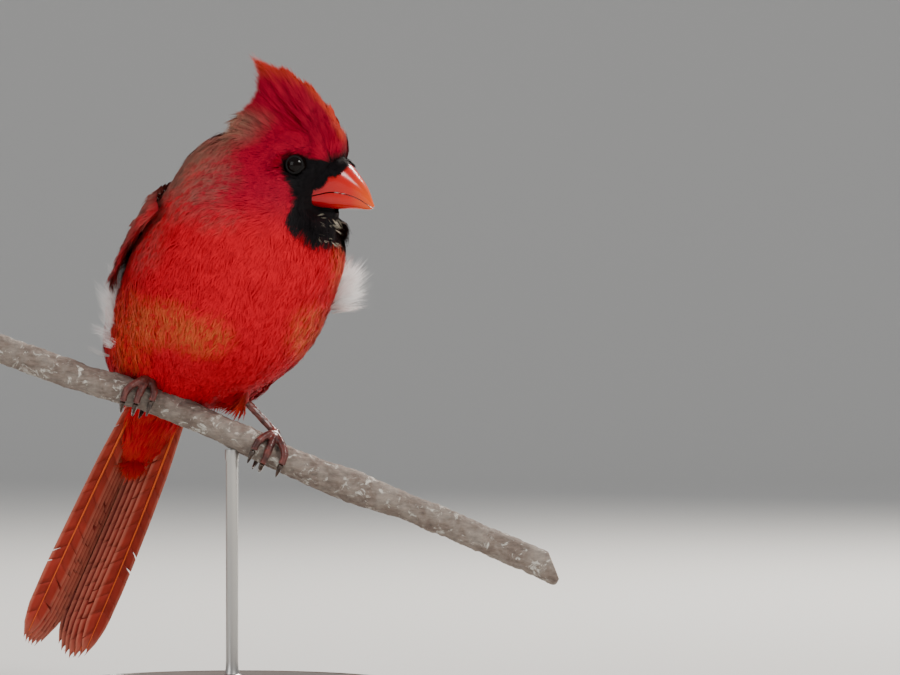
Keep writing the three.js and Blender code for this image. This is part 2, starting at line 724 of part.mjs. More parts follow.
// Pale down that stands out from under each wing's edge
const DOWN_OUTLINE = [[0, 0.9], [0.5, 1], [1, 0.25]];
const DOWN_HALF_WIDTH = 1.5;
const DOWN_SPREAD = 7; // between the first and the last blade's roots
const DOWN_TUFTS = [
  {
    root: point(-34, 6, 133),
    towards: point(-0.7, 0.25, 0.9),
    fan: point(0, 0, -1),
    length: 13,
    count: 5,
  },
  {
    root: point(29, 9, 138),
    towards: point(0.7, 0.2, 0.6),
    fan: point(-0.05, 0, -1),
    length: 13,
    count: 5,
  },
];

function downTuft({ root, towards, fan, length, count }, grow = 0) {
  return Array.from({ length: count }, (_, i) => {
    const share = i / (count - 1);
    const start = root.clone().addScaledVector(fan, share * DOWN_SPREAD);
    const heading = towards.clone().addScaledVector(fan, share * 1.1).normalize();
    const reachTo = length * (1 - 0.25 * share) + grow;
    const centreAt = (t) => start.clone().addScaledVector(heading, reachTo * t);
    const upAt = () => point(0.1, -1, 0.1).normalize();
    const thickness = VANE_THICKNESS + 2 * grow;
    return solid(feather(DOWN_OUTLINE, DOWN_HALF_WIDTH + grow, centreAt, upAt, thickness));
  });
}

// Stand: a round base and a rod up to the perch
const BASE = { radius: 59, height: 10, bevel: 1.5 };
const ROD_RADIUS = 2;

function disc(radius, height, bevel) {
  const outline = new THREE.Shape().absarc(0, 0, radius - bevel, 0, 2 * Math.PI);
  const geometry = new THREE.ExtrudeGeometry(outline, {
    depth: height - 2 * bevel,
    bevelSize: bevel,
    bevelThickness: bevel,
    bevelSegments: 1,
    curveSegments: 18,
  });
  return solid(geometry.translate(0, 0, bevel));
}

function rod(radius, from, to) {
  const outline = new THREE.Shape().absarc(0, 0, radius, 0, 2 * Math.PI);
  const geometry = new THREE.ExtrudeGeometry(outline, {
    depth: to - from,
    bevelEnabled: false,
    curveSegments: 8,
  });
  return solid(geometry.translate(0, 0, from));
}

// Pieces cut clear of one another

const perchRoom = perch(GAP);
const legRooms = united(Object.values(legs).flatMap((leg) => [footRoom(leg), thigh(leg, GAP)]));
const billRoom = upperBill(GAP).add(lowerBill(GAP));
const torsoWithDown = united([torsoSkin, ...DOWN_TUFTS.flatMap((tuft) => downTuft(tuft))]);
const downRoom = united(DOWN_TUFTS.flatMap((tuft) => downTuft(tuft, GAP)));
const torso = below(NECK_PLANES.torso, torsoWithDown).subtract(perchRoom).subtract(legRooms);
const neck = below(NECK_PLANES.head, above(NECK_PLANES.torso, neckSkin));
const eyeball = (side, grow = 0) => ball(EYE.radius + grow, EYE.f, eyeCentre(side), EYE.u);
const nostril = (side) => ball(NOSTRIL.radius, NOSTRIL.f, side * NOSTRIL.l, NOSTRIL.u, 8, 4);
const sockets = eyeball(1, GAP).add(eyeball(-1, GAP));
const lidded = united([headSkin, lidRing(-1), lidRing(1)]);
const head = above(NECK_PLANES.head, lidded.subtract(sockets).subtract(billRoom));
const nostrils = nostril(1).add(nostril(-1));
const standRod = rod(ROD_RADIUS, BASE.height + GAP, perchAt(0).centre.z);

const bird = new THREE.Group();

function addNode(group, name, body, colour, roughness = 0.8, metalness = 0) {
  const material = new THREE.MeshStandardMaterial({ color: colour, roughness, metalness });
  const mesh = new THREE.Mesh(geometryOf(body), material);
  mesh.name = name;
  group.add(mesh);
}

const RED = 0xc8102a;
const DULL_RED = 0x8f2a2c;
const CORAL = 0xe8481c;
const LEG_BROWN = 0x5a3230;
const HORN = 0x3c3430;
const EYE_BLACK = 0x120806;
const BARK_GREY = 0x6e645a;
const STEEL = 0x8c8478;
const DARK_WOOD = 0x4a3424;

addNode(bird, "torso", torso, RED);
addNode(bird, "neck", neck, RED);
addNode(bird, "head", head, RED);
addNode(bird, "crest", crest().subtract(headRoom), RED);
addNode(bird, "bill_upper", upperBill().subtract(nostrils), CORAL, 0.3);
addNode(bird, "bill_lower", lowerBill(), CORAL, 0.3);
addNode(bird, "tail", tail().subtract(torsoRoom).subtract(perchRoom), DULL_RED);
for (const [name, side] of Object.entries(eyes)) {
  addNode(bird, `eye_${name}`, eyeball(side), EYE_BLACK, 0.08);
  addNode(bird, `wing_${name}`, wing(side).subtract(torsoRoom).subtract(downRoom), DULL_RED);
  const leg = legs[name];
  addNode(bird, `thigh_${name}`, thigh(leg).subtract(perchRoom).subtract(footRoom(leg)), RED);
  addNode(bird, `leg_${name}`, legBody(leg), LEG_BROWN, 0.5);
  leg.toes.forEach((each, i) => {
    addNode(bird, `claw_${name}_${i + 1}`, claw(leg, each), HORN, 0.35);
  });
}

const mount = new THREE.Group();
addNode(mount, "perch", perch(), BARK_GREY, 0.9);
addNode(mount, "stand_rod", standRod.subtract(perchRoom), STEEL, 0.35, 0.9);
addNode(mount, "stand_base", disc(BASE.radius, BASE.height, BASE.bevel), DARK_WOOD, 0.55);

const model = new THREE.Group();
model.add(bird, mount);

export default model;
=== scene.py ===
import json
import math

import bpy
import numpy as np
from mathutils import Matrix, Vector
from mathutils.bvhtree import BVHTree

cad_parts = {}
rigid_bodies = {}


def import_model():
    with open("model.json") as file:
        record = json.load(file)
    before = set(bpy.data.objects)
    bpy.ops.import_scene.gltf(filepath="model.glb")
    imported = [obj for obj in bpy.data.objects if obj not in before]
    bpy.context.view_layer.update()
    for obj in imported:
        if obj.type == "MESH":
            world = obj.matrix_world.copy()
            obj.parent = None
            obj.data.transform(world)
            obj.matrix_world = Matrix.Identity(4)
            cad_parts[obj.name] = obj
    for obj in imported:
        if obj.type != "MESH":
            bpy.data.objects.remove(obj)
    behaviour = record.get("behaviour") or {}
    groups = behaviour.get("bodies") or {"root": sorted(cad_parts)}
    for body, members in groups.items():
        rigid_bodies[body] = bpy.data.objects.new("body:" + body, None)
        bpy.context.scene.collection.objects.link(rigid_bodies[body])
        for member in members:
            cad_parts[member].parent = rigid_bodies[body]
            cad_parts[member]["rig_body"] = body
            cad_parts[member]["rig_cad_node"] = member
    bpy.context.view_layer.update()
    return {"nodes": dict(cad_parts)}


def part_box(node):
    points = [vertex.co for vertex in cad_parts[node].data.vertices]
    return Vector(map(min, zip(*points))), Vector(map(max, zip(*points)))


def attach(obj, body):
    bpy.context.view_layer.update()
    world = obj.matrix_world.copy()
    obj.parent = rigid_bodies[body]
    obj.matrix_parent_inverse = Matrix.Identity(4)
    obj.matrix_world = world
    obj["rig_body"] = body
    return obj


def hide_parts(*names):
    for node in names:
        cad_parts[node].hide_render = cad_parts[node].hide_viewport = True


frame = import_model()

bpy.ops.object.select_all(action="DESELECT")
MM = 0.001

# The view. A long lens stands level with the bird's breast and looks along +Y, as in the photo.
# The photo is 900 x 675 pixels, with 3.1 of them to the millimetre where the branch runs.
VIEW_DISTANCE = 1.5
PHOTO_WIDTH = 900
PIXELS_PER_MM = 3.1
VIEW_CENTRE_X = 70.3 * MM
VIEW_CENTRE_Z = 121.3 * MM
SENSOR = 36.0
bpy.ops.object.camera_add(
    location=(VIEW_CENTRE_X, -VIEW_DISTANCE, VIEW_CENTRE_Z), rotation=(math.pi / 2, 0, 0)
)
camera = bpy.context.active_object
camera.data.sensor_width = SENSOR
camera.data.lens = SENSOR * VIEW_DISTANCE / (PHOTO_WIDTH / PIXELS_PER_MM * MM)
bpy.context.scene.camera = camera


# The setting. A pale sheet of paper runs under the stand and curves up behind it.
# Three broad soft lamps light it, the strongest high on the right, one of them from behind.
def plain_material(name, colour, roughness=0.5, metallic=0.0):
    material = bpy.data.materials.new(name)
    material.use_nodes = True
    shader = material.node_tree.nodes["Principled BSDF"]
    shader.inputs["Base Color"].default_value = (*colour, 1)
    shader.inputs["Roughness"].default_value = roughness
    shader.inputs["Metallic"].default_value = metallic
    return material, shader


PAPER_HALF = 5.0
PAPER_BACK = 4.0
PAPER_RISE = 3.5
PAPER_BEND = 1.6
NEAR = 0.01
bpy.ops.mesh.primitive_plane_add(size=2 * PAPER_HALF, location=(0, PAPER_BACK - PAPER_HALF, 0))
paper = bpy.context.active_object
paper.name = "paper_floor"
bpy.ops.object.transform_apply(location=True, rotation=False, scale=False)


def select_paper_edges(chosen):
    bpy.ops.mesh.select_all(action="DESELECT")
    bpy.ops.object.mode_set(mode="OBJECT")
    for edge in paper.data.edges:
        edge.select = all(chosen(paper.data.vertices[i].co) for i in edge.vertices)
    bpy.ops.object.mode_set(mode="EDIT")


bpy.ops.object.mode_set(mode="EDIT")
bpy.ops.mesh.select_mode(type="EDGE")
select_paper_edges(lambda co: co.y > PAPER_BACK - NEAR)
bpy.ops.mesh.extrude_region_move(TRANSFORM_OT_translate={"value": (0, 0, PAPER_RISE)})
select_paper_edges(lambda co: co.y > PAPER_BACK - NEAR and co.z < NEAR)
bpy.ops.mesh.bevel(offset=PAPER_BEND, segments=24)
bpy.ops.object.mode_set(mode="OBJECT")
bpy.ops.object.shade_smooth()
paper_material, _ = plain_material("pale_paper", (0.72, 0.71, 0.69), 0.9)
paper.data.materials.append(paper_material)


LAMP_AIM = Vector((0, 0, 0.13))


def soft_lamp(name, place, size, power, colour=(1, 1, 1)):
    turn = (LAMP_AIM - Vector(place)).to_track_quat("-Z", "Y").to_euler()
    bpy.ops.object.light_add(type="AREA", location=place, rotation=turn)
    lamp = bpy.context.active_object
    lamp.name = name
    lamp.data.size = size
    lamp.data.energy = power
    lamp.data.color = colour


soft_lamp("key_lamp", (0.8, -1.05, 1.1), 0.45, 19, (1, 0.97, 0.93))
soft_lamp("fill_lamp", (-1.2, -1.1, 0.6), 0.9, 7)
soft_lamp("rim_lamp", (0.6, 0.9, 1.0), 0.4, 26, (1, 0.95, 0.88))
world = bpy.data.worlds.new("soft_sky")
bpy.context.scene.world = world
world.use_nodes = True
sky = world.node_tree.nodes["Background"]
sky.inputs["Color"].default_value = (0.92, 0.94, 0.97, 1)
sky.inputs["Strength"].default_value = 0.4

# The body under the feathers. On the real bird it is thin skin over muscle, all in one.
# Here the torso, neck, head and thighs are fused into one closed skin and drawn in by the coat's depth.
SKIN_GRAIN = 1.1 * MM
COAT_DEPTH = 1.3 * MM
THINNEST = 3 * MM
INSET = 0.05 * MM
SAME_PLACE = 1e-6


def select_only(piece):
    bpy.ops.object.select_all(action="DESELECT")
    piece.select_set(True)
    bpy.context.view_layer.objects.active = piece


def copy_of(name, *nodes):
    """A plain copy of CAD nodes, joined, with its loose triangles merged."""
    bpy.ops.object.select_all(action="DESELECT")
    for node in nodes:
        frame["nodes"][node].select_set(True)
    bpy.context.view_layer.objects.active = frame["nodes"][nodes[0]]
    bpy.ops.object.duplicate()
    if len(nodes) > 1:
        bpy.ops.object.join()
    piece = bpy.context.active_object
    piece.name = name
    piece.parent = None
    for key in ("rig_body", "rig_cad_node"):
        if key in piece:
            del piece[key]
    piece.data.materials.clear()
    bpy.ops.object.mode_set(mode="EDIT")
    bpy.ops.mesh.select_all(action="SELECT")
    bpy.ops.mesh.remove_doubles(threshold=SAME_PLACE)
    bpy.ops.object.mode_set(mode="OBJECT")
    return piece


def apply_modifier(piece, kind, **settings):
    bpy.context.view_layer.objects.active = piece
    modifier = piece.modifiers.new(kind.lower(), kind)
    for key, value in settings.items():
        setattr(modifier, key, value)
    bpy.ops.object.modifier_apply(modifier=modifier.name)


def smooth_form(piece, grain, rounds, grow=0.0):
    """Fuses a piece into one even skin of this grain and eases its edges."""
    if grow:
        apply_modifier(piece, "DISPLACE", strength=grow, mid_level=0)
    apply_modifier(piece, "REMESH", mode="VOXEL", voxel_size=grain)
    apply_modifier(piece, "SMOOTH", factor=0.5, iterations=rounds)
    select_only(piece)
    bpy.ops.object.shade_smooth()


def values_of(items, name, width, kind=np.float32):
    """One property of every vertex, corner or triangle, as rows."""
    values = np.empty(len(items) * width, kind)
    items.foreach_get(name, values)
    return values.reshape(-1, width).astype(float if kind is np.float32 else kind)


def vertex_places(piece):
    return values_of(piece.data.vertices, "co", 3)


def cut_thin_parts(piece, thinnest):
    """Takes off what is thinner than this and closes the body again where a tuft or a blade stood."""
    tree = BVHTree.FromObject(piece, bpy.context.evaluated_depsgraph_get())
    bpy.context.view_layer.objects.active = piece
    bpy.ops.object.mode_set(mode="EDIT")
    bpy.ops.mesh.select_mode(type="VERT")
    bpy.ops.mesh.select_all(action="DESELECT")
    bpy.ops.object.mode_set(mode="OBJECT")
    for vertex in piece.data.vertices:
        inward = -vertex.normal
        vertex.select = tree.ray_cast(vertex.co + inward * INSET, inward, thinnest)[0] is not None
    bpy.ops.object.mode_set(mode="EDIT")
    for _ in range(8):
        bpy.ops.mesh.select_more()
        bpy.ops.mesh.delete(type="VERT")
        bpy.ops.mesh.select_all(action="SELECT")
        bpy.ops.mesh.delete_loose()
        bpy.ops.mesh.select_all(action="SELECT")
        bpy.ops.mesh.fill_holes(sides=0)
        bpy.ops.mesh.select_all(action="DESELECT")
        bpy.ops.mesh.select_non_manifold()
        if not piece.data.total_vert_sel:
            break
    bpy.ops.object.mode_set(mode="OBJECT")


skin = copy_of("skin", "torso", "neck", "head", "thigh_left", "thigh_right", "crest")
smooth_form(skin, SKIN_GRAIN, 4, grow=0.2 * MM)
cut_thin_parts(skin, THINNEST)
smooth_form(skin, SKIN_GRAIN, 14)
body_surface = BVHTree.FromObject(skin, bpy.context.evaluated_depsgraph_get())
apply_modifier(skin, "DISPLACE", strength=-COAT_DEPTH, mid_level=0)
bpy.ops.object.mode_set(mode="EDIT")
bpy.ops.mesh.select_all(action="SELECT")
bpy.ops.uv.smart_project(angle_limit=math.radians(66), island_margin=0.01)
bpy.ops.object.mode_set(mode="OBJECT")
skin.data.uv_layers[0].name = "OFBake"


# The bird's own directions. Each frame has +X forward, +Y to the bird's left and +Z to its back or crown.
# Yaw runs from the viewer towards the right, pitch is above the horizon, and roll is towards its left.
def posed_frame(origin, yaw, pitch, roll=0.0):
    y = math.radians(yaw)
    p = math.radians(pitch)
    forward = Vector((math.sin(y) * math.cos(p), -math.cos(y) * math.cos(p), math.sin(p)))
    up = Matrix.Rotation(-math.radians(roll), 3, forward) @ Vector((0, 0, 1))
    return frame_along(origin, forward, up)


def frame_along(origin, forward, up_hint):
    x = forward.normalized()
    y = up_hint.cross(x).normalized()
    z = x.cross(y)
    turned = Matrix((x, y, z)).transposed().to_4x4()
    return Matrix.Translation(Vector(origin) * MM) @ turned


torso_frame = posed_frame((-3, 6, 133), 42, 55, 26)
head_frame = posed_frame((19.4, -14, 174.4), 72, -6)
TAIL_ROOT = Vector((-23.3, 29, 107))
TAIL_TIP = Vector((-64, 56, 17))
torso_dorsal = torso_frame.to_3x3() @ Vector((0, 0, 1))
tail_frame = frame_along(TAIL_ROOT, TAIL_TIP - TAIL_ROOT, -torso_dorsal)


def local(points, placed):
    """World points in metres as millimetres in one of the bird's frames."""
    inverse = np.array(placed.inverted())
    return (points @ inverse[:3, :3].T + inverse[:3, 3]) / MM


def world_of(points, placed):
    """Points in millimetres in one of the bird's frames as world points in metres."""
    matrix = np.array(placed)
    return (points * MM) @ matrix[:3, :3].T + matrix[:3, 3]


def world_direction(vectors, placed):
    return np.asarray(vectors, float) @ np.array(placed)[:3, :3].T


def unit(vectors):
    return vectors / np.maximum(np.linalg.norm(vectors, axis=-1, keepdims=True), 1e-9)


def ease(low, high, value):
    """A soft step from 0 at the first value to 1 at the second."""
    share = np.clip((value - low) / (high - low), 0, 1)
    return share * share * (3 - 2 * share)


# The plumage's colours. The male is pure red on breast and crown and greyer red on the back, with a black
# mask round the bill and down the throat. Worn tips show orange on the flanks and grey over the shoulder.
# An orange painted highlight runs along the crest's front edge and its point.
BREAST_RED = np.array((0.55, 0.0, 0.012))
CROWN_RED = np.array((0.27, 0.0, 0.02))
BACK_RED = np.array((0.24, 0.045, 0.035))
BACK_GREY = np.array((0.20, 0.13, 0.095))
NAPE_TAN = np.array((0.36, 0.2, 0.12))
# Orange for worn tips, and for a painted highlight down the breast's contour on the right
WORN_AND_RIM_LIGHT_ORANGE = np.array((0.62, 0.2, 0.045))
MASK_BLACK = np.array((0.004, 0.003, 0.004))
# Orange for a painted rim highlight on the crest, and for the tips of the under tail coverts
RIM_HIGHLIGHT_AND_TIP_ORANGE = np.array((0.85, 0.11, 0.03))

# The mask's edge on the cheek, forward and up from the head's centre. It slants back towards the sides.
MASK_EDGE = [
    (-3.2, 3.4), (-2.4, 4.4), (2.2, 5.1), (9.0, 4.6), (14.9, 6.9), (18.7, 7.9), (22, 9), (30, 9), (30, -22),
    (21.4, -23.2), (17.4, -22.8), (12.6, -24.3), (8.0, -23.4), (5.5, -21.4), (1.7, -19.7), (0.1, -16.1),
    (1.3, -12.8), (2.3, -10.5), (1.8, -7.4), (-0.9, -2.9), (-2.6, 0.6),
]
MASK_HALF_WIDTH = 19.5
MASK_RAGGED = 1.2
SLANT = 0.327

# Patches on the side towards the viewer: X and Z of the centre, half width and height, and strength
WORN_AND_RIM_LIGHT_PATCHES = [
    ((-22, 125), (12, 8), 0.85),
    ((-8, 121), (10, 7), 0.8),
    ((-33, 121), (8, 16), 0.6),
    ((27, 121), (9, 10), 0.85),
    ((16, 98), (20, 4), 0.6),
    # This narrow strip down the breast's contour on the right is a painted highlight along the edge
    ((35, 140), (3, 18), 0.7),
]
GREY_PATCHES = [
    ((-9, 172), (13, 11), 0.8),
    ((-20, 166), (14, 10), 0.75),
    ((-28, 152), (8, 12), 0.6),
    ((-3, 158), (9, 5), 0.5),
]
# The crest's front edge from the bill to its point, forward and up from the head's centre
CREST_FRONT = np.array([
    (20.1, 8.1), (16.7, 14.1), (12.8, 19), (7.2, 24.3), (2.9, 28.1), (-2.5, 30.8), (-6.6, 33.3), (-16, 35),
])


def speckle(points, scale, seed=0.0):
    """Smooth noise from 0 to 1 over world points, for patches a few millimetres wide."""
    p = points / MM / scale + seed
    wave = (
        np.sin(p[:, 0] * 1.7 + np.sin(p[:, 1] * 2.3 + 1.1) * 1.4)
        + np.sin(p[:, 1] * 1.9 + np.sin(p[:, 2] * 2.1 + 0.7) * 1.6)
        + np.sin(p[:, 2] * 2.3 + np.sin(p[:, 0] * 1.3 + 2.9) * 1.5)
    )
    return 0.5 + wave / 6


def inside_outline(x, y, outline):
    """Signed distance to a closed outline, positive inside."""
    inside = np.zeros(len(x), bool)
    nearest = np.full(len(x), 1e9)
    for (ax, ay), (bx, by) in zip(outline, outline[1:] + outline[:1]):
        ex, ey = bx - ax, by - ay
        share = np.clip(((x - ax) * ex + (y - ay) * ey) / (ex * ex + ey * ey), 0, 1)
        nearest = np.minimum(nearest, np.hypot(x - ax - share * ex, y - ay - share * ey))
        crosses = (ay > y) != (by > y)
        inside ^= crosses & (x < ex * (y - ay) / np.where(ey == 0, 1e-9, ey) + ax)
    return np.where(inside, nearest, -nearest)


def mask_share(points):
    """How black the mask is at each point, from 0 to 1, ragged along its edge."""
    on_head = local(points, head_frame)
    ragged = (speckle(points, 0.9, 4.0) - 0.5) * MASK_RAGGED
    slanted = on_head[:, 0] - SLANT * np.abs(on_head[:, 1])
    depth = inside_outline(slanted, on_head[:, 2], MASK_EDGE) + ragged
    side = ease(MASK_HALF_WIDTH + 1, MASK_HALF_WIDTH - 1.5, np.abs(on_head[:, 1]))
    return ease(-0.5, 0.5, depth) * np.where(on_head[:, 2] < -9, side, 1)


def mix(a, b, share):
    return a + (b - a) * np.asarray(share)[..., None]


def plumage_colour(points, tips):
    """Colour of the plumage at root points, for places from 0 at a feather's root to 1 at its tip."""
    on_torso = local(points, torso_frame)
    on_head = local(points, head_frame)
    near_head = ease(-24, -6, on_head[:, 2]) * ease(-34, -20, on_head[:, 0])
    colour = mix(BREAST_RED, CROWN_RED, 0.75 * near_head)
    dorsal = on_torso[:, 2] + 7 * (speckle(points, 5) - 0.5)
    on_crest = ease(15, 20, on_head[:, 2]) * ease(-26, -20, on_head[:, 0])
    back = ease(-1, 11, dorsal) * (1 - ease(-14, -2, on_head[:, 0]) * ease(-16, -6, on_head[:, 2]))
    back = back * (1 - on_crest)
    colour = mix(colour, BACK_RED, 0.75 * back)
    colour = mix(colour, BACK_GREY, back * tips * (0.25 + 0.55 * speckle(points, 1.1, 2)))
    nape = ease(-12, -22, on_head[:, 0]) * ease(-14, -2, on_head[:, 2]) * (1 - 0.8 * on_crest)
    colour = mix(colour, NAPE_TAN, nape * ease(0.35, 1, tips) * (0.3 + 0.6 * speckle(points, 1.5, 7)))
    front = ease(14, 0, points[:, 1] / MM)
    for patches, tint in ((GREY_PATCHES, BACK_GREY), (WORN_AND_RIM_LIGHT_PATCHES, WORN_AND_RIM_LIGHT_ORANGE)):
        for centre, radii, strength in patches:
            reach = np.hypot(*((points[:, (0, 2)] / MM - centre) / radii).T)
            patchy = ease(0.35, 0.6, speckle(points, 1.3, centre[1]))
            share = strength * front * ease(1.25, 0.5, reach) * (0.15 + 0.85 * patchy)
            colour = mix(colour, tint, share * ease(0.3, 0.9, tips))
    # Painted highlight: an orange rim along the crest's front edge and at its point
    behind_front = np.interp(on_head[:, 2], CREST_FRONT[:, 1], CREST_FRONT[:, 0]) - on_head[:, 0]
    along_edge = ease(7, 10, on_head[:, 2]) * ease(-8, -2, on_head[:, 0])
    rim = ease(1.5, 0.1, behind_front) * ease(8, 4, np.abs(on_head[:, 1])) * along_edge
    tip = ease(29, 33, on_head[:, 2]) * ease(0, -6, on_head[:, 0])
    colour = mix(colour, RIM_HIGHLIGHT_AND_TIP_ORANGE, np.maximum(0.6 * rim, 0.4 * tip) * ease(0.2, 0.8, tips))
    return mix(colour, MASK_BLACK, mask_share(points))


def paint(piece, colours):
    attribute = piece.data.color_attributes.new("Plumage", "FLOAT_COLOR", "POINT")
    rgba = np.concatenate([np.clip(colours, 0, 1), np.ones((len(colours), 1))], axis=1)
    attribute.data.foreach_set("color", rgba.astype(np.float32).ravel())


def node(tree, kind, **values):
    """A shader node with some inputs set. An underscore in a name stands for a space."""
    made = tree.nodes.new("ShaderNode" + kind)
    for key, value in values.items():
        made.inputs[key.replace("_", " ")].default_value = value
    return made


def feather_material(name, roughness, sheen):
    material, shader = plain_material(name, (0.6, 0.02, 0.02), roughness)
    tree = material.node_tree
    tint = node(tree, "Attribute")
    tint.attribute_name = "Plumage"
    tree.links.new(tint.outputs["Color"], shader.inputs["Base Color"])
    shader.inputs["Sheen Weight"].default_value = sheen
    shader.inputs["Sheen Roughness"].default_value = 0.4
    shader.inputs["Sheen Tint"].default_value = (1.0, 0.25, 0.2, 1)
    shader.inputs["Specular IOR Level"].default_value = 0.12
    return material


# Where the feathers stop at the bill, forward and up from the head's centre
GAPE_LINE = np.array([
    (9.5, -12.9), (7.9, -10.9), (7.9, -7.2), (9.7, -3.3), (12.2, -0.2), (15.3, 1.5), (18.6, 5),
])
# The bill's half width at places forward of the head's centre, and how far the skin stays inside it
BILL_SIDES = np.array([(6, 9.8), (8.2, 9.3), (12.6, 8.1), (17.4, 6), (23.6, 3.4)])
SKIN_INSIDE = 1.4
CHIN_INSIDE = 3
# The skin is painted in the plumage's colours darkened by this share, as painted shade under the coat
SKIN_PAINTED_SHADE = 0.6
SKIN_TIP_SHARE = 0.25


def past_gape(on_head):
    """How far places on the head lie past the feathers' edge towards the bill's tip, in millimetres."""
    slanted = on_head[:, 0] - SLANT * np.abs(on_head[:, 1])
    return slanted - np.interp(on_head[:, 2], GAPE_LINE[:, 1], GAPE_LINE[:, 0])


def draw_in_cheeks():
    """The skin narrows to less than the bill's width where the horn grows from it."""
    places = vertex_places(skin)
    on_head = local(places, head_frame)
    near = ease(-3.5, 0.5, past_gape(on_head)) * ease(-15, -11.5, on_head[:, 2]) * ease(9, 6, on_head[:, 2])
    under = ease(-8.5, -10.5, on_head[:, 2])
    most = np.interp(on_head[:, 0], BILL_SIDES[:, 0], BILL_SIDES[:, 1]) - SKIN_INSIDE - CHIN_INSIDE * under
    across = np.abs(on_head[:, 1])
    across = across - near * np.maximum(across - most, 0)
    on_head[:, 1] = np.sign(on_head[:, 1]) * across
    skin.data.vertices.foreach_set("co", world_of(on_head, head_frame).astype(np.float32).ravel())
    skin.data.update()


soft_plumage = feather_material("soft_plumage", 0.65, 0.04)
draw_in_cheeks()
skin_places = vertex_places(skin)
# Painted shade: the skin under the coat is darker than the feathers over it
paint(skin, plumage_colour(skin_places, np.full(len(skin_places), SKIN_TIP_SHARE)) * SKIN_PAINTED_SHADE)
skin.data.materials.append(soft_plumage)
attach(skin, "root")
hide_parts("torso", "neck", "head", "thigh_left", "thigh_right")

# Body feathers. Each is a soft fan of barbs from one root, a few millimetres to a centimetre long.
# They lie in overlapping rows from bill to tail, smallest on the face, and hide the skin.
BODY_FEATHERS = 30000
BARBS = 9
# Length, width and lift in millimetres, and how much each of them loses on the face and on the muzzle
LENGTH = (9.5, 4.4, 1.7)
WIDTH = (4.6, 2.4, 0.8)
LIFT = (0.95, 0.45, 0.15)
BODY_CURVE = 34
FACE_CURVE = 17
rng = np.random.default_rng(11)


def feather_lie(points, normals):
    """The way the coat lies at each root, along the skin."""
    on_head = local(points, head_frame)
    forward, up = on_head[:, 0], on_head[:, 2]
    way = world_direction((-1, 0, -0.12), torso_frame)
    # Cheeks, throat, crown and nape, each with its way on the head and how far it holds
    for heading, share in (
        ((-1, 0, -0.25), ease(-22, -9, up) * ease(-26, -10, forward)),
        ((-0.35, 0, -1), ease(-6, -11, up) * ease(0, 8, forward)),
        ((-0.75, 0, 0.75), ease(6, 12, up) * ease(-16, -8, forward)),
        ((-0.45, 0, -1), ease(-9, -15, forward) * ease(-6, 4, up)),
    ):
        way = way * (1 - share)[:, None] + world_direction(heading, head_frame) * share[:, None]
    way = way - normals * np.sum(way * normals, axis=1, keepdims=True)
    return unit(way)


def skin_samples(count):
    """Seeded roots spread over the skin, with their normals and their places on its unwrap."""
    mesh = skin.data
    mesh.calc_loop_triangles()
    corners = values_of(mesh.loop_triangles, "vertices", 3, np.int32)
    loops = values_of(mesh.loop_triangles, "loops", 3, np.int32)
    normals = values_of(mesh.vertex_normals, "vector", 3)
    uv = values_of(mesh.uv_layers["OFBake"].data, "uv", 2)
    tri = skin_places[corners]
    areas = np.linalg.norm(np.cross(tri[:, 1] - tri[:, 0], tri[:, 2] - tri[:, 0]), axis=1) / 2
    on_head = local(tri.mean(axis=1), head_frame)
    crowding = 1 + 2.2 * ease(-20, -6, on_head[:, 2]) * ease(-20, -8, on_head[:, 0])
    weights = areas * crowding
    picks = rng.choice(len(tri), count, p=weights / weights.sum())
    a = np.sqrt(rng.random(count))
    b = rng.random(count)
    shares = np.stack([1 - a, a * (1 - b), a * b], axis=1)

    def blend(values):
        return np.einsum("ij,ijk->ik", shares, values)

    return blend(tri[picks]), unit(blend(normals[corners[picks]])), blend(uv[loops[picks]])


def new_piece(name, mesh):
    piece = bpy.data.objects.new(name, mesh)
    bpy.context.scene.collection.objects.link(piece)
    return piece


def feather_mesh(name, rows, material):
    """One object from the vertices, triangles, UVs and colours of many feathers."""
    vertices, faces, uvs, colours = rows
    mesh = bpy.data.meshes.new(name)
    piece = new_piece(name, mesh)
    mesh.vertices.add(len(vertices))
    mesh.vertices.foreach_set("co", vertices.astype(np.float32).ravel())
    mesh.loops.add(faces.size)
    mesh.loops.foreach_set("vertex_index", faces.astype(np.int32).ravel())
    mesh.polygons.add(len(faces))
    mesh.polygons.foreach_set("loop_start", np.arange(0, faces.size, 3, dtype=np.int32))
    mesh.update(calc_edges=True)
    layer = mesh.uv_layers.new(name="OFBake")
    layer.data.foreach_set("uv", uvs[faces.ravel()].astype(np.float32).ravel())
    paint(piece, colours)
    mesh.polygons.foreach_set("use_smooth", np.ones(len(faces), bool))
    mesh.materials.append(material)
    mesh.validate()
    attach(piece, "root")
    return piece


# A barb has two corners at its root, two at its middle and one at its tip
BARB_STATIONS = (0.0, 0.55, 1.0)
BARB_CORNERS = (((0, -1), (1, 1)), ((2, -1), (3, 1)), ((4, 0),))
BARB_FACES = np.array([(0, 1, 3), (0, 3, 2), (2, 3, 4)])
# How wide a fan is at its root as a share of its full width, how much shorter its side barbs are, and how
# far its barbs stray
FAN_ROOT = 0.12
SIDE_SHORTER = 0.16
STRAY = 0.1
# The share of the unwrap that a fan covers round its root
UV_PATCH = 0.003


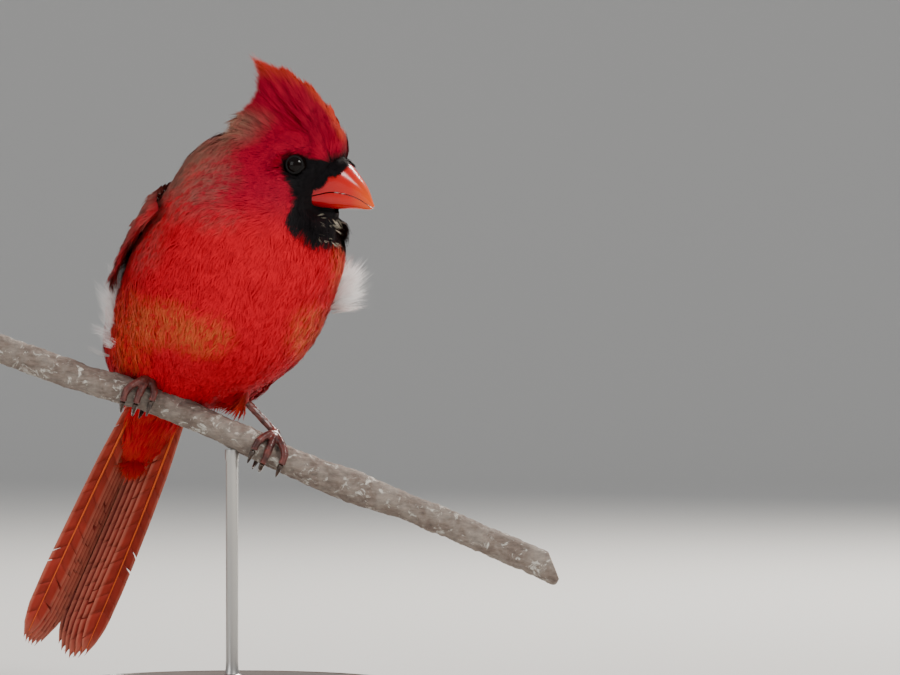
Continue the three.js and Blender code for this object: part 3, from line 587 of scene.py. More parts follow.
def barb_fans(roots, normals, ways, uv, lengths, widths, lifts, curve, tint, barbs=BARBS, thick=0.055):
    """Fans of barbs over the body. Lengths and widths are in metres, curve is the body's radius."""
    count = len(roots)
    sides = np.cross(normals, ways)
    vertices = np.empty((count, barbs, 5, 3))
    patch = np.empty((count, barbs, 5, 2))
    tips = np.empty((count, barbs, 5))
    for j, side in enumerate(np.linspace(-1, 1, barbs)):
        jitter = rng.normal(0, STRAY, count)
        reach = lengths * (1 - SIDE_SHORTER * side * side + rng.normal(0, 0.06, count))
        height = rng.normal(0, STRAY, count)
        for share, corners in zip(BARB_STATIONS, BARB_CORNERS):
            across = widths * 0.5 * (side + jitter) * (FAN_ROOT + (1 - FAN_ROOT) * share**0.8)
            along = reach * share
            lift = lifts * (0.25 + np.sin(share * 2.2)) * (1 + height) + lengths * 0.03 * height * share
            rise = lift - along * along / (2 * curve)
            centre = roots + ways * along[:, None] + sides * across[:, None] + normals * rise[:, None]
            half = sides * (widths * thick * (1.25 - 0.5 * share))[:, None]
            for corner, sense in corners:
                vertices[:, j, corner] = centre + half * sense
                patch[:, j, corner] = (side * 0.5 * share + 0.05 * sense, share - 0.5)
                tips[:, j, corner] = share
    offsets = np.arange(count * barbs)[:, None, None] * 5
    faces = (BARB_FACES[None] + offsets).reshape(-1, 3)
    vertices = vertices.reshape(-1, 3)
    shades = np.repeat(rng.uniform(0.86, 1.12, count), barbs * 5)
    uvs = (uv[:, None, None, :] + patch * UV_PATCH).reshape(-1, 2)
    return vertices, faces, uvs, tint(vertices, tips.ravel()) * shades[:, None]


def body_tint(points, tips):
    shade = 0.45 + 0.6 * ease(0, 0.6, tips)
    return plumage_colour(points, tips) * shade[:, None]


# Crest. Long narrow feathers stand from the crown and draw together in points, the longest at the front.
# Each column gives where a group is rooted and ends, forward and up from the head's centre.
CREST_COLUMNS = np.array([
    (16.5, 7, 15.8, 15), (15, 9, 11.6, 20.2), (12.6, 11, 4.2, 27), (10, 13, -5, 32.2), (7.5, 14, -17.8, 35.8),
    (3, 14, -14.2, 28.8), (-1, 14, -14.6, 24.2), (-5, 13, -17.5, 19.4), (-9, 11, -23, 14),
])
# Lengths in millimetres that a crest feather stays between, its width, lift and curve, and how it strays
CREST_LENGTHS = (5, 17)
CREST_WIDTH = 2.1
CREST_LIFT = 0.1
CREST_CURVE = 400
CREST_STRAY = 0.045


def crest_lie(points):
    """How far each root is in the crest from 0 to 1, with its feather's way and length."""
    on_head = local(points, head_frame)
    flat = on_head[:, (0, 2)]
    starts = CREST_COLUMNS[:, :2]
    spans = CREST_COLUMNS[:, 2:] - starts
    offsets = flat[:, None, :] - starts[None]
    share = np.clip(np.sum(offsets * spans, axis=2) / np.sum(spans * spans, axis=1), -0.4, 0.9)
    gaps = np.linalg.norm(offsets - share[..., None] * spans, axis=2) + 0.25 * np.abs(share)
    weights = 1 / (gaps + 0.25) ** 3
    weights /= weights.sum(axis=1, keepdims=True)
    tips = weights @ CREST_COLUMNS[:, 2:]
    ends = np.stack([tips[:, 0], 0.22 * on_head[:, 1], tips[:, 1]], axis=1)
    ways = ends - on_head
    lengths = np.linalg.norm(ways, axis=1)
    crown = ease(6.5, 10.5, on_head[:, 2] + 0.28 * np.maximum(on_head[:, 0], 0))
    middle = ease(8.5, 6.0, np.abs(on_head[:, 1]))
    behind = ease(-17, -11, on_head[:, 0])
    return crown * middle * behind, unit(world_direction(ways, head_frame)), lengths * MM


# No feather is rooted this near an eye, which lies past this half width of the head
EYE_PLACE = np.array((5.5, 2.2))
EYE_CLEAR = 2.7
HEAD_SIDE = 6


def keep_clear(roots):
    """Which roots stand clear of the eyes and the bill."""
    on_head = local(roots, head_frame)
    from_eye = np.hypot(on_head[:, 0] - EYE_PLACE[0], on_head[:, 2] - EYE_PLACE[1])
    eye = (from_eye < EYE_CLEAR) & (np.abs(on_head[:, 1]) > HEAD_SIDE)
    level = (on_head[:, 2] > GAPE_LINE[0, 1]) & (on_head[:, 2] < GAPE_LINE[-1, 1])
    bill = (past_gape(on_head) > 0) & level
    return ~(eye | bill)


roots, normals, root_uv = skin_samples(BODY_FEATHERS)
kept = keep_clear(roots)
roots, normals, root_uv = roots[kept], normals[kept], root_uv[kept]
turn = rng.normal(0, 0.16, len(roots))
ways = feather_lie(roots, normals)
ways = unit(ways * np.cos(turn)[:, None] + np.cross(normals, ways) * np.sin(turn)[:, None])
on_head = local(roots, head_frame)
on_torso = local(roots, torso_frame)
face = ease(-20, -4, on_head[:, 2]) * ease(-22, 2, on_head[:, 0])
muzzle = ease(2, 12, on_head[:, 0]) * ease(-18, -8, on_head[:, 2])


def sized(size, least, most):
    whole, less_on_face, less_on_muzzle = size
    sizes = whole - less_on_face * face - less_on_muzzle * muzzle
    return sizes * rng.uniform(least, most, len(roots)) * MM


lengths = sized(LENGTH, 0.8, 1.2)
widths = sized(WIDTH, 0.8, 1.2)
lifts = sized(LIFT, 0.7, 1.5)
curves = (BODY_CURVE - (BODY_CURVE - FACE_CURVE) * face) * MM
in_crest, crest_ways, crest_lengths = crest_lie(roots)
crest_ways = unit(crest_ways + rng.normal(0, CREST_STRAY, ways.shape))
ways = unit(ways * (1 - in_crest)[:, None] + crest_ways * in_crest[:, None])
reaching = np.clip(crest_lengths, *(reach * MM for reach in CREST_LENGTHS))
reaching = reaching * rng.uniform(0.55, 1.03, len(roots))
lengths = lengths * (1 - in_crest) + reaching * in_crest
widths = widths * (1 - in_crest) + CREST_WIDTH * MM * in_crest
lifts = lifts * (1 - in_crest) + CREST_LIFT * MM * in_crest
curves = curves + CREST_CURVE * MM * in_crest

# The forehead's feathers stand up from the bill's base in a close rounded brow
BROW_SHARE = 0.6
BROW_LIFT = 0.9
BROW_LENGTHS = (6, 8.5)
on_brow = ease(2.5, 6, on_head[:, 2]) * ease(8, 12, on_head[:, 0]) * ease(9, 6, np.abs(on_head[:, 1]))
backward = -0.12 * np.clip(on_head[:, 2] - 6, -1, 6)
brow_ways = np.stack([backward, 0.02 * on_head[:, 1], np.ones(len(roots))], axis=1)
brow_ways = unit(world_direction(brow_ways, head_frame))
brow_share = (BROW_SHARE * on_brow)[:, None]
ways = unit(ways * (1 - brow_share) + brow_ways * brow_share)
lifts = lifts + BROW_LIFT * MM * on_brow
brow_lengths = np.minimum(lengths, rng.uniform(*BROW_LENGTHS, len(roots)) * MM)
lengths = np.where(on_brow > 0.5, brow_lengths, lengths)

# The coat is kept in pieces by region, none of them too big to export
MOST_FEATHERS = 7000
regions = {
    "coat_crest": in_crest > 0.5,
    "coat_face": (face > 0.5) & (in_crest <= 0.5),
    "coat_neck": (face <= 0.5) & (in_crest <= 0.5) & (on_torso[:, 0] > 24),
}
rest = ~(regions["coat_crest"] | regions["coat_face"] | regions["coat_neck"])
regions["coat_back"] = rest & (on_torso[:, 2] > 4)
regions["coat_breast"] = rest & (on_torso[:, 2] <= 4) & (on_torso[:, 0] > -2)
regions["coat_belly"] = rest & (on_torso[:, 2] <= 4) & (on_torso[:, 0] <= -2)
coat = (roots, normals, ways, root_uv, lengths, widths, lifts, curves)
for name, chosen in regions.items():
    index = np.flatnonzero(chosen)
    for number, part in enumerate(np.array_split(index, math.ceil(len(index) / MOST_FEATHERS))):
        fans = barb_fans(*(values[part] for values in coat), body_tint)
        piece = feather_mesh(f"{name}_{number + 1}", fans, soft_plumage)
        if piece.name == "coat_crest_1":
            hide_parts("crest")

# Down. White fluff stands out from under each wing's edge, in loose plumes without hooks.
# Each tuft gives its middle root, the way it stands, the way its roots are spread and its plumes' length.
DOWN_WHITE = np.array((0.95, 0.93, 0.91))
DOWN_GREY = np.array((0.42, 0.36, 0.35))
DOWN_TUFTS = {
    "down_right": ((-35.5, 4, 127), (-0.62, -0.1, 0.9), (-0.1, 0, -1), 13, 24),
    "down_left": ((31.5, 3, 134.5), (0.76, -0.1, 0.72), (0.1, 0, -1), 15.5, 7),
}
DOWN_PLUMES = 130
downy_white = feather_material("downy_white", 0.8, 0.3)


def down_tint(points, tips):
    return mix(DOWN_GREY, DOWN_WHITE, ease(0.1, 0.55, tips))


for name, (root, towards, fan, length, breadth) in DOWN_TUFTS.items():
    along = rng.uniform(-0.5, 0.5, DOWN_PLUMES)
    fanned = along[:, None] * unit(np.array(fan, float))
    heading = unit(np.array(towards, float))
    starts = np.array(root) + fanned * breadth + rng.normal(0, 0.8, (DOWN_PLUMES, 3))
    plume_ways = unit(heading + fanned * 1.1 + rng.normal(0, 0.18, (DOWN_PLUMES, 3)))
    facing = unit(rng.normal(0, 1, (DOWN_PLUMES, 3)) + np.array((0, -1.2, 0)))
    facing = unit(facing - plume_ways * np.sum(facing * plume_ways, axis=1, keepdims=True))
    long = length * MM * rng.uniform(0.5, 1.05, DOWN_PLUMES) * (1 - 0.5 * np.abs(along))
    tuft_uv = np.stack([0.5 + 0.3 * along, rng.uniform(0.3, 0.7, DOWN_PLUMES)], axis=1)
    fans = barb_fans(
        starts * MM, facing, plume_ways, tuft_uv, long, long * 0.34, np.full(DOWN_PLUMES, 0.3 * MM),
        rng.uniform(18, 60, DOWN_PLUMES) * MM, down_tint, barbs=11, thick=0.016,
    )
    feather_mesh(name, fans, downy_white)

# Long feathers of tail and wings. Each is a horny shaft with a web on either side, zipped from fine barbs.
# The webs split here and there between bunches of barbs, as on a bird that has worn them for months.
LINE_STATIONS = 25
BUNCH_ROWS = 4
BUNCH_COLUMNS = 4
SHAFT_CORNERS = 6
VANE_THICKNESS = 0.12 * MM
SPLIT_CHANCE = 0.12
SPLIT_PINCH = (0.12, 0.3)
CAMBER = 0.12
# How far the barbs slant towards the tip, as shares of the web's half width
BARB_SLANT = 1.1
# A place across a feather past which a tint colours its shaft, as the webs run from -1 to 1
ON_SHAFT = 2
WEB_OUTLINE = np.array([(0, 0.5), (0.3, 0.85), (0.75, 1), (0.9, 0.93), (0.97, 0.66), (1.03, 0.12)])
COVERT_OUTLINE = np.array([(0, 0.65), (0.4, 1), (0.75, 1), (0.92, 0.75), (1.03, 0.2)])


class FeatherRows:
    """Vertices, faces and patterns of many long feathers, gathered for one mesh."""

    def __init__(self, columns):
        self.vertices, self.faces, self.uvs, self.lies, self.colours = [], [], [], [], []
        self.count = 0
        self.cells = 0
        self.columns = columns

    def grid(self, places, uvs, lies, colours):
        rows, columns = places.shape[:2]
        index = np.arange(rows * columns).reshape(rows, columns) + self.count
        corners = [index[:-1, :-1], index[1:, :-1], index[1:, 1:], index[:-1, 1:]]
        quads = np.stack([corner.ravel() for corner in corners], axis=1)
        self.faces.append(np.concatenate([quads[:, (0, 1, 2)], quads[:, (0, 2, 3)]]))
        stores = (self.vertices, self.uvs, self.lies, self.colours)
        for store, values in zip(stores, (places, uvs, lies, colours)):
            store.append(values.reshape(-1, values.shape[-1]))
        self.count += rows * columns

    def feather(self, line, ups, half, tint, outline, bunches, shaft):
        """One feather from points along its shaft and the way its top faces at each, in metres."""
        shares = np.linspace(0, 1, len(line))
        length = np.sum(np.linalg.norm(np.diff(line, axis=0), axis=1))
        cell = np.array((self.cells % self.columns, self.cells // self.columns)) / self.columns
        self.cells += 1

        def on_shaft(values, share):
            return np.stack([np.interp(share, shares, values[:, i]) for i in range(3)], axis=-1)

        tangents = unit(np.gradient(line, axis=0))
        sides = unit(np.cross(ups, tangents))
        for side in (-1, 1):
            between = (np.arange(1, bunches) + rng.uniform(-0.3, 0.3, bunches - 1)) / bunches
            edges = np.concatenate([[0], between, [1]])
            for first, last in zip(edges[:-1], edges[1:]):
                along = np.linspace(first, last, BUNCH_ROWS)
                s, t = np.meshgrid(along, np.linspace(0, 1, BUNCH_COLUMNS), indexing="ij")
                pinch = (rng.uniform(*SPLIT_PINCH) if rng.random() < SPLIT_CHANCE else 0.0) * t**2
                slant = BARB_SLANT * t * half / length * (1 - 0.35 * s)
                outward = s + ((first + last) / 2 - s) * pinch + slant
                width = half * np.interp(outward, outline[:, 0], outline[:, 1])
                over = np.maximum(outward - 1, 0)[..., None] * length
                inner = np.minimum(outward, 1)
                drop = -CAMBER * half * t**2 + rng.uniform(-0.015, 0.015) * MM * t
                places = on_shaft(line, inner) + on_shaft(tangents, inner) * over
                places = places + on_shaft(sides, inner) * (side * width * t)[..., None]
                places = places + on_shaft(ups, inner) * drop[..., None]
                uv = np.stack([0.5 + 0.45 * side * t, 0.05 + 0.85 * outward], axis=-1)
                lie = np.stack([s * length / MM, t * side], axis=-1)
                tone = tint(np.clip(outward, 0, 1), t * side)
                rows = (places, cell + uv / self.columns, lie, tone)
                self.grid(*(values[::side] for values in rows))
        around = np.linspace(0, 2 * math.pi, SHAFT_CORNERS)
        radius = shaft * MM * (1 - 0.8 * shares)[:, None, None]
        ring = sides[:, None] * np.cos(around)[None, :, None] + ups[:, None] * np.sin(around)[None, :, None]
        places = line[:, None] + ring * radius
        uv = np.broadcast_to(cell + 0.5 / self.columns, places.shape[:2] + (2,))
        lie = np.zeros(places.shape[:2] + (2,))
        past_webs = np.full(places.shape[:2], ON_SHAFT + 1.0)
        tone = tint(np.repeat(shares[:, None], SHAFT_CORNERS, axis=1), past_webs)
        self.grid(places[:, ::-1], uv, lie, tone)

    def piece(self, name, material):
        faces = np.concatenate(self.faces)
        stores = (self.vertices, self.uvs, self.lies, self.colours)
        vertices, uvs, lies, colours = (np.concatenate(store) for store in stores)
        made = feather_mesh(name, (vertices, faces, uvs, colours), material)
        layer = made.data.uv_layers.new(name="BarbLie")
        layer.data.foreach_set("uv", lies[faces.ravel()].astype(np.float32).ravel())
        apply_modifier(made, "SOLIDIFY", thickness=VANE_THICKNESS, offset=0)
        return made


def texture(tree, places, kind, **values):
    made = node(tree, kind, **values)
    tree.links.new(places, made.inputs["Vector"])
    return made.outputs["Fac"]


def relief(tree, pattern, strength, distance):
    """Fine relief from a pattern, on top of the modelled shape."""
    bump = node(tree, "Bump", Strength=strength, Distance=distance)
    tree.links.new(pattern, bump.inputs["Height"])
    tree.links.new(bump.outputs["Normal"], tree.nodes["Principled BSDF"].inputs["Normal"])


def web_material(name, roughness):
    """Barbs run out from the shaft as fine ridges, close to three in a millimetre."""
    material = feather_material(name, roughness, 0.05)
    tree = material.node_tree
    lie = node(tree, "UVMap")
    lie.uv_map = "BarbLie"
    ridges = texture(tree, lie.outputs["UV"], "TexWave", Scale=0.9, Distortion=1.2, Detail=2)
    relief(tree, ridges, 0.35, 0.1 * MM)
    return material


webbed = web_material("webbed_vane", 0.5)

# Tail. Twelve long feathers rooted in the rump in six levels, the outer pair nearest the viewer.
# They are dull brown red with bright orange shafts and pale rubbed edges, with painted shade where they
# overlap.
TAIL_LENGTHS = (96.5, 98.5, 99.5, 99.5, 98, 96)
TAIL_LEVEL = 0.9
TAIL_HALF_WIDTH = 4.1
TAIL_SHAFT = 0.42
TAIL_BUNCHES = 14
# How far the inmost feathers lie from the tail's middle at root and tip, and how much further each next one
ROOT_SPREAD = (0.8, 1.35)
TIP_SPREAD = (3, 1.5)
# Feathers to a row of the unwrap
TAIL_CELLS = 4
SHAFT_ORANGE = np.array((0.75, 0.13, 0.03))
TAIL_RED = np.array((0.36, 0.035, 0.022))
TAIL_EDGE = np.array((0.62, 0.2, 0.13))
TAIL_PURPLE = np.array((0.085, 0.014, 0.018))


def tail_tint(index):
    outer = index / 5

    def tint(s, t):
        across = np.abs(t)
        # Painted shade: the webs darken near the shaft on their root half, where the next feathers overlap
        # them, most on the inner ones
        covered = 0.35 * ease(0.75, 0.0, across) * ease(0.1, 0.5, s) * (1 - 0.6 * outer)
        colour = mix(mix(TAIL_PURPLE, TAIL_RED, 0.25 + 0.75 * outer), TAIL_PURPLE, covered)
        streak = 0.5 + 0.5 * np.sin(s * 61 + index * 2.1) * np.sin(s * 23 + 1.3)
        colour = colour * (0.82 + 0.3 * streak)[..., None]
        colour = mix(colour, TAIL_EDGE, 0.75 * ease(0.72, 1.0, across))
        colour = mix(colour, TAIL_EDGE, 0.4 * ease(0.93, 1.0, s))
        colour[across > ON_SHAFT] = mix(SHAFT_ORANGE, TAIL_PURPLE, 0.6 * (1 - outer))
        return colour

    return tint


tail_rows = FeatherRows(TAIL_CELLS)
steps = np.linspace(0, 1, LINE_STATIONS)
across_tail = world_direction((0, 1, 0), tail_frame)
ventral = world_direction((0, 0, 1), tail_frame)
for index, length in enumerate(TAIL_LENGTHS):
    for side in (-1, 1):
        root_y = side * (ROOT_SPREAD[0] + index * ROOT_SPREAD[1])
        tip_y = side * (TIP_SPREAD[0] + index * TIP_SPREAD[1])
        level = index * TAIL_LEVEL + (TAIL_LEVEL / 2 if side > 0 else 0)
        line = np.stack([
            2 + (length - 2 + rng.uniform(-0.8, 0.4)) * steps,
            root_y + (tip_y - root_y) * steps + 0.5 * side * np.sin(math.pi * steps),
            np.full(LINE_STATIONS, level) + 0.8 * np.sin(math.pi * steps),
        ], axis=1)
        ups = np.tile(unit(ventral + 0.06 * side * across_tail), (LINE_STATIONS, 1))
        tail_rows.feather(
            world_of(line, tail_frame), ups, TAIL_HALF_WIDTH * MM, tail_tint(index), WEB_OUTLINE,
            TAIL_BUNCHES, TAIL_SHAFT,
        )
tail_piece = tail_rows.piece("tail_feathers", webbed)
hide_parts("tail")

# Tail coverts. Soft short feathers close the tail's root above and below, bright red under it.
# They grow from the fleshy stump of the tail, which is a plain egg shape here.
COVERT_CENTRE = np.array((9, 0, 2.6))
COVERT_RADII = np.array((19, 9, 5.4))
TAIL_COVERTS = 1500
STUMP_SHARE = 0.93
ROOT_SHARE = 0.92
STUMP_END = 0.85
COVERT_LIFT = 0.5
COVERT_CURVE = 40
bpy.ops.mesh.primitive_uv_sphere_add(segments=48, ring_count=24, radius=1)
tail_base = bpy.context.active_object
tail_base.name = "tail_base"
stump_place = Matrix.Translation(Vector(COVERT_CENTRE) * MM)
tail_base.matrix_world = tail_frame @ stump_place @ Matrix.Diagonal((*(COVERT_RADII * STUMP_SHARE * MM), 1))
bpy.ops.object.transform_apply(location=True, rotation=True, scale=True)
bpy.ops.object.shade_smooth()
tail_base.data.uv_layers[0].name = "OFBake"


def covert_tint(points, tips):
    on_tail = local(points, tail_frame)
    under = ease(-1.5, 2.5, on_tail[:, 2])
    colour = mix(BACK_RED, BREAST_RED * 0.9, under)
    colour = mix(colour, BACK_GREY, 0.5 * (1 - under) * tips)
    colour = mix(colour, RIM_HIGHLIGHT_AND_TIP_ORANGE, 0.3 * under * ease(0.6, 1, tips))
    return colour * (0.5 + 0.55 * ease(0, 0.6, tips))[:, None]


paint(tail_base, covert_tint(vertex_places(tail_base), np.full(len(tail_base.data.vertices), 0.3)))
tail_base.data.materials.append(soft_plumage)
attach(tail_base, "root")
sphere = unit(rng.normal(0, 1, (TAIL_COVERTS, 3)))
sphere[:, 0] = np.where(sphere[:, 0] > STUMP_END, sphere[:, 0] * 0.6, sphere[:, 0])
sphere = unit(sphere)
covert_roots = world_of(COVERT_CENTRE + sphere * COVERT_RADII * ROOT_SHARE, tail_frame)
covert_normals = unit(world_direction(sphere / COVERT_RADII, tail_frame))
down_tail = world_direction((1, 0, 0), tail_frame)
covert_ways = down_tail - covert_normals * (covert_normals @ down_tail)[:, None]
covert_ways = unit(unit(covert_ways) + 0.25 * down_tail + rng.normal(0, 0.08, covert_ways.shape))
longitude = np.arctan2(sphere[:, 2], sphere[:, 1]) / (2 * math.pi) + 0.5
latitude = np.arccos(np.clip(sphere[:, 0], -1, 1)) / math.pi
covert_fans = barb_fans(
    covert_roots, covert_normals, covert_ways, np.stack([longitude, latitude], axis=1),
    rng.uniform(9, 13, TAIL_COVERTS) * MM, rng.uniform(4, 6, TAIL_COVERTS) * MM,
    COVERT_LIFT * MM, COVERT_CURVE * MM, covert_tint,
)
feather_mesh("tail_coverts", covert_fans, soft_plumage)

# Wings. Each folded wing lies on the body in tiers, from short coverts at its bend to long primaries.
# The feathers are dusky with dull red edges, and the coverts above them are redder.
LOWER_EDGE = np.array([(25, 26, -3), (5, 33, 2), (-17, 31, 7), (-39, 19, 13), (-61, 7, 17)], float)
UPPER_EDGE = np.array([(23, 12, 27), (5, 8, 32), (-17, 6, 30), (-39, 4.5, 25), (-59, 4, 20)], float)
WING_CLEARANCE = 0.25
ON_BODY = (-42, -28)
DUSKY = np.array((0.05, 0.022, 0.02))
WING_EDGE_RED = np.array((0.33, 0.03, 0.022))
WING_SHAFT = 0.3
WING_CELLS = 7
LONG_TIERS = 3
# Count, half width, roots and tips of the first and last as shares along and across, height, bunches
WING_TIERS = [
    (8, 3.0, (0.36, 0.1), (0.4, 0.5), (0.86, 0.16), (1, 0.72), 0.8, WEB_OUTLINE, 12),
    (6, 4.0, (0.3, 0.2), (0.3, 0.66), (0.66, 0.2), (0.78, 0.66), 1.3, WEB_OUTLINE, 10),
    (3, 4.4, (0.26, 0.66), (0.2, 0.84), (0.76, 0.72), (0.62, 0.84), 1.8, WEB_OUTLINE, 9),
    (8, 3.6, (0.2, 0.12), (0.16, 0.86), (0.45, 0.08), (0.4, 0.86), 1.9, COVERT_OUTLINE, 6),
    (9, 3.6, (0.1, 0.1), (0.08, 0.88), (0.28, 0.1), (0.25, 0.88), 2.0, COVERT_OUTLINE, 5),
    (9, 3.4, (0.02, 0.1), (0.0, 0.88), (0.17, 0.1), (0.15, 0.88), 1.8, COVERT_OUTLINE, 4),
    (2, 2.4, (0.14, 0.1), (0.14, 0.18), (0.4, 0.02), (0.34, 0.12), 1.8, COVERT_OUTLINE, 5),
]


def edge_point(edge, share):
    """A smooth curve through the points of an edge, at one share of its length."""
    place = np.clip(share, 0, 1) * (len(edge) - 1)
    i = min(int(place), len(edge) - 2)
    t = place - i
    before = edge[max(i - 1, 0)] if i else 2 * edge[0] - edge[1]
    after = edge[i + 2] if i + 2 < len(edge) else 2 * edge[-1] - edge[-2]
    a, b = edge[i], edge[i + 1]
    square = (2 * before - 5 * a + 4 * b - after) * t**2
    cube = (3 * a - before - 3 * b + after) * t**3
    return 0.5 * (2 * a + (b - before) * t + square + cube)


def on_wing(side, along, across, height=0.0):
    """A point of the folded wing, at a height over the body, in metres."""
    placed = edge_point(LOWER_EDGE, along) * (1 - across) + edge_point(UPPER_EDGE, along) * across
    place = Vector(world_of(placed * np.array((1, side, 1)), torso_frame))
    nearest, normal, _, _ = body_surface.find_nearest(place)
    lift = (place - nearest).dot(normal) - WING_CLEARANCE * MM
    pull = 1 if lift < 0 else float(ease(*ON_BODY, placed[0]))
    return np.array(place - normal * (lift * pull - height)), np.array(normal)


def wing_tint(red, seed):
    def tint(s, t):
        across = np.abs(t)
        streak = 0.5 + 0.5 * np.sin(s * 40 + seed)
        edged = mix(mix(DUSKY, WING_EDGE_RED, red), WING_EDGE_RED * 1.15, 0.85 * ease(0.45, 0.95, across))
        colour = edged * (0.85 + 0.3 * streak)[..., None]
        colour[across > ON_SHAFT] = DUSKY * 0.8
        return colour

    return tint


for side, name in ((1, "left"), (-1, "right")):
    wing_rows = FeatherRows(WING_CELLS)
    for tier, (count, half, *ends, height, outline, bunches) in enumerate(WING_TIERS):
        first_root, last_root, first_tip, last_tip = np.array(ends)
        for index in range(count):
            share = index / (count - 1)
            root = first_root * (1 - share) + last_root * share
            tip = first_tip * (1 - share) + last_tip * share
            places, outs = [], []
            for step in steps:
                along, across = root + (tip - root) * step
                over = height + 0.35 * share + 0.5 * math.sin(math.pi * step)
                rise = 0.5 * height + (over - 0.5 * height) * min(2 * step, 1)
                place, out = on_wing(side, along, across, rise * MM)
                places.append(place)
                outs.append(out)
            line = np.array(places)
            outs = unit(np.array(outs))
            tangents = unit(np.gradient(line, axis=0))
            leaned = unit(outs + 0.22 * side * np.cross(outs, tangents))
            tone = wing_tint(0.2 if tier < LONG_TIERS else 0.6, index)
            wing_rows.feather(line, leaned, half * MM, tone, outline, bunches, WING_SHAFT)
    wing_piece = wing_rows.piece(f"wing_feathers_{name}", webbed)
    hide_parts(f"wing_{name}")

# Lesser coverts and scapulars. Soft body feathers cover the bend of each wing and its front edge.
# They are rooted over the tiers below them and lie back along the folded wing.
LESSER_COVERTS = 1100
LESSER_HEIGHT = 2.1 * MM
LOOK_ON = 0.06
for side, name in ((1, "left"), (-1, "right")):
    along = rng.uniform(-0.02, 0.36, LESSER_COVERTS)
    across = rng.uniform(-0.02, 1.0, LESSER_COVERTS)
    spots = list(zip(np.clip(along, 0, 1), across))
    covered = [on_wing(side, a, b, LESSER_HEIGHT) for a, b in spots]
    covert_roots = np.array([place for place, _ in covered])
    covert_normals = unit(np.array([normal for _, normal in covered]))
    next_places = np.array([on_wing(side, a + LOOK_ON, b, LESSER_HEIGHT)[0] for a, b in spots])
    covert_ways = unit(unit(next_places - covert_roots) + rng.normal(0, 0.1, covert_roots.shape))
    fans = barb_fans(
        covert_roots, covert_normals, covert_ways, np.stack([0.1 + 0.8 * across, 0.3 + along], axis=1),
        rng.uniform(7, 9.5, LESSER_COVERTS) * MM, rng.uniform(4, 5.5, LESSER_COVERTS) * MM,
        rng.uniform(0.5, 1.1, LESSER_COVERTS) * MM, BODY_CURVE * MM, body_tint,
    )
    feather_mesh(f"coat_wing_{name}", fans, soft_plumage)

# Bill. A deep blunt cone of coral horn in two halves, growing from the skull, glossy over all.
# Profiles run forward and up from the head's centre, from the face to the tip.
CULMEN = np.array([(12, 6.2), (15.2, 5.9), (19.4, 4.4), (23.1, 1), (26.4, -2.9), (29.3, -8.4)])
CUTTING_EDGE = np.array([(5.5, -8.6), (8.2, -7.9), (12.6, -6.4), (17.4, -5.1), (23.6, -6), (28.9, -8.8)])
MOUTH_GAP = 0.35
LOWER_CUTTING_EDGE = CUTTING_EDGE - np.array((0, MOUTH_GAP))
GONYS = np.array([(5, -10.6), (8, -10.6), (12.4, -10.7), (17.8, -10.4), (23, -9.9), (27.6, -9.7)])
UPPER_HALF_WIDTHS = np.array([10, 9.4, 8.2, 6.2, 3.7, 0.55])
LOWER_HALF_WIDTHS = np.array([9.6, 9, 7.8, 5.8, 3.4, 0.5])
BILL_STATIONS = 40
BILL_ARC = 33
HOLLOW_SHARE = 0.12
MERGE_HORN = 2e-5


def through(values, count):
    """Values along a smooth curve through the given ones."""
    values = np.asarray(values, float)
    table = values if values.ndim > 1 else values[:, None]
    made = np.array([edge_point(table, share) for share in np.linspace(0, 1, count)])
    return made if values.ndim > 1 else made[:, 0]


def bill_half(name, ridge, edge, half_widths, fullness, cad_node):
    """Half of the bill from its ridge, its cutting edge and its half widths, hollowed on the inside."""
    ridge_line = through(ridge, BILL_STATIONS)
    edge_line = through(edge, BILL_STATIONS)
    half = through(half_widths, BILL_STATIONS)
    turn = np.linspace(-math.pi / 2, math.pi / 2, BILL_ARC)
    rise = np.cos(turn) ** fullness
    sideways = np.sign(np.sin(turn)) * np.abs(np.sin(turn)) ** 0.9
    rings = []
    for edge_place, height, half_width in zip(edge_line, ridge_line - edge_line, half):
        flat = edge_place + height * rise[:, None]
        over = np.stack([flat[:, 0], half_width * sideways, flat[:, 1]], axis=1)
        inner = over[1:-1][::-1].copy()
        inner[:, (0, 2)] = edge_place + height * HOLLOW_SHARE * np.cos(turn[1:-1])[:, None]
        rings.append(np.concatenate([over, inner]))
    points = world_of(np.array(rings).reshape(-1, 3), head_frame)
    around = len(rings[0])
    faces = []
    for i in range(BILL_STATIONS - 1):
        for j in range(around):
            k = (j + 1) % around
            faces.append((i * around + j, i * around + k, (i + 1) * around + k, (i + 1) * around + j))
    faces.append(tuple(range(around)))
    faces.append(tuple((BILL_STATIONS - 1) * around + j for j in range(around)))
    mesh = bpy.data.meshes.new(name)
    mesh.from_pydata([tuple(point) for point in points], [], faces)
    piece = new_piece(name, mesh)
    select_only(piece)
    bpy.ops.object.mode_set(mode="EDIT")
    bpy.ops.mesh.select_all(action="SELECT")
    bpy.ops.mesh.remove_doubles(threshold=MERGE_HORN)
    bpy.ops.mesh.normals_make_consistent(inside=False)
    bpy.ops.object.mode_set(mode="OBJECT")
    bpy.ops.object.shade_smooth_by_angle(angle=math.radians(55))
    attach(piece, "root")
    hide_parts(cad_node)
    return piece


def object_places(tree, **mapping):
    """Places on a piece, stretched or turned where its pattern needs it."""
    places = node(tree, "TexCoord").outputs["Object"]
    if not mapping:
        return places
    turned = node(tree, "Mapping", **mapping)
    tree.links.new(places, turned.inputs["Vector"])
    return turned.outputs["Vector"]


def ramp(tree, source, *stops):
    """Colours at places from 0 to 1 of a source. Any middle stops come after the two ends."""
    made = node(tree, "ValToRGB")
    elements = made.color_ramp.elements
    for number, (position, colour) in enumerate(stops):
        element = elements[number] if number < 2 else elements.new(position)
        element.position = position
        element.color = (*colour, 1)
    tree.links.new(source, made.inputs["Fac"])
    return made.outputs["Color"]


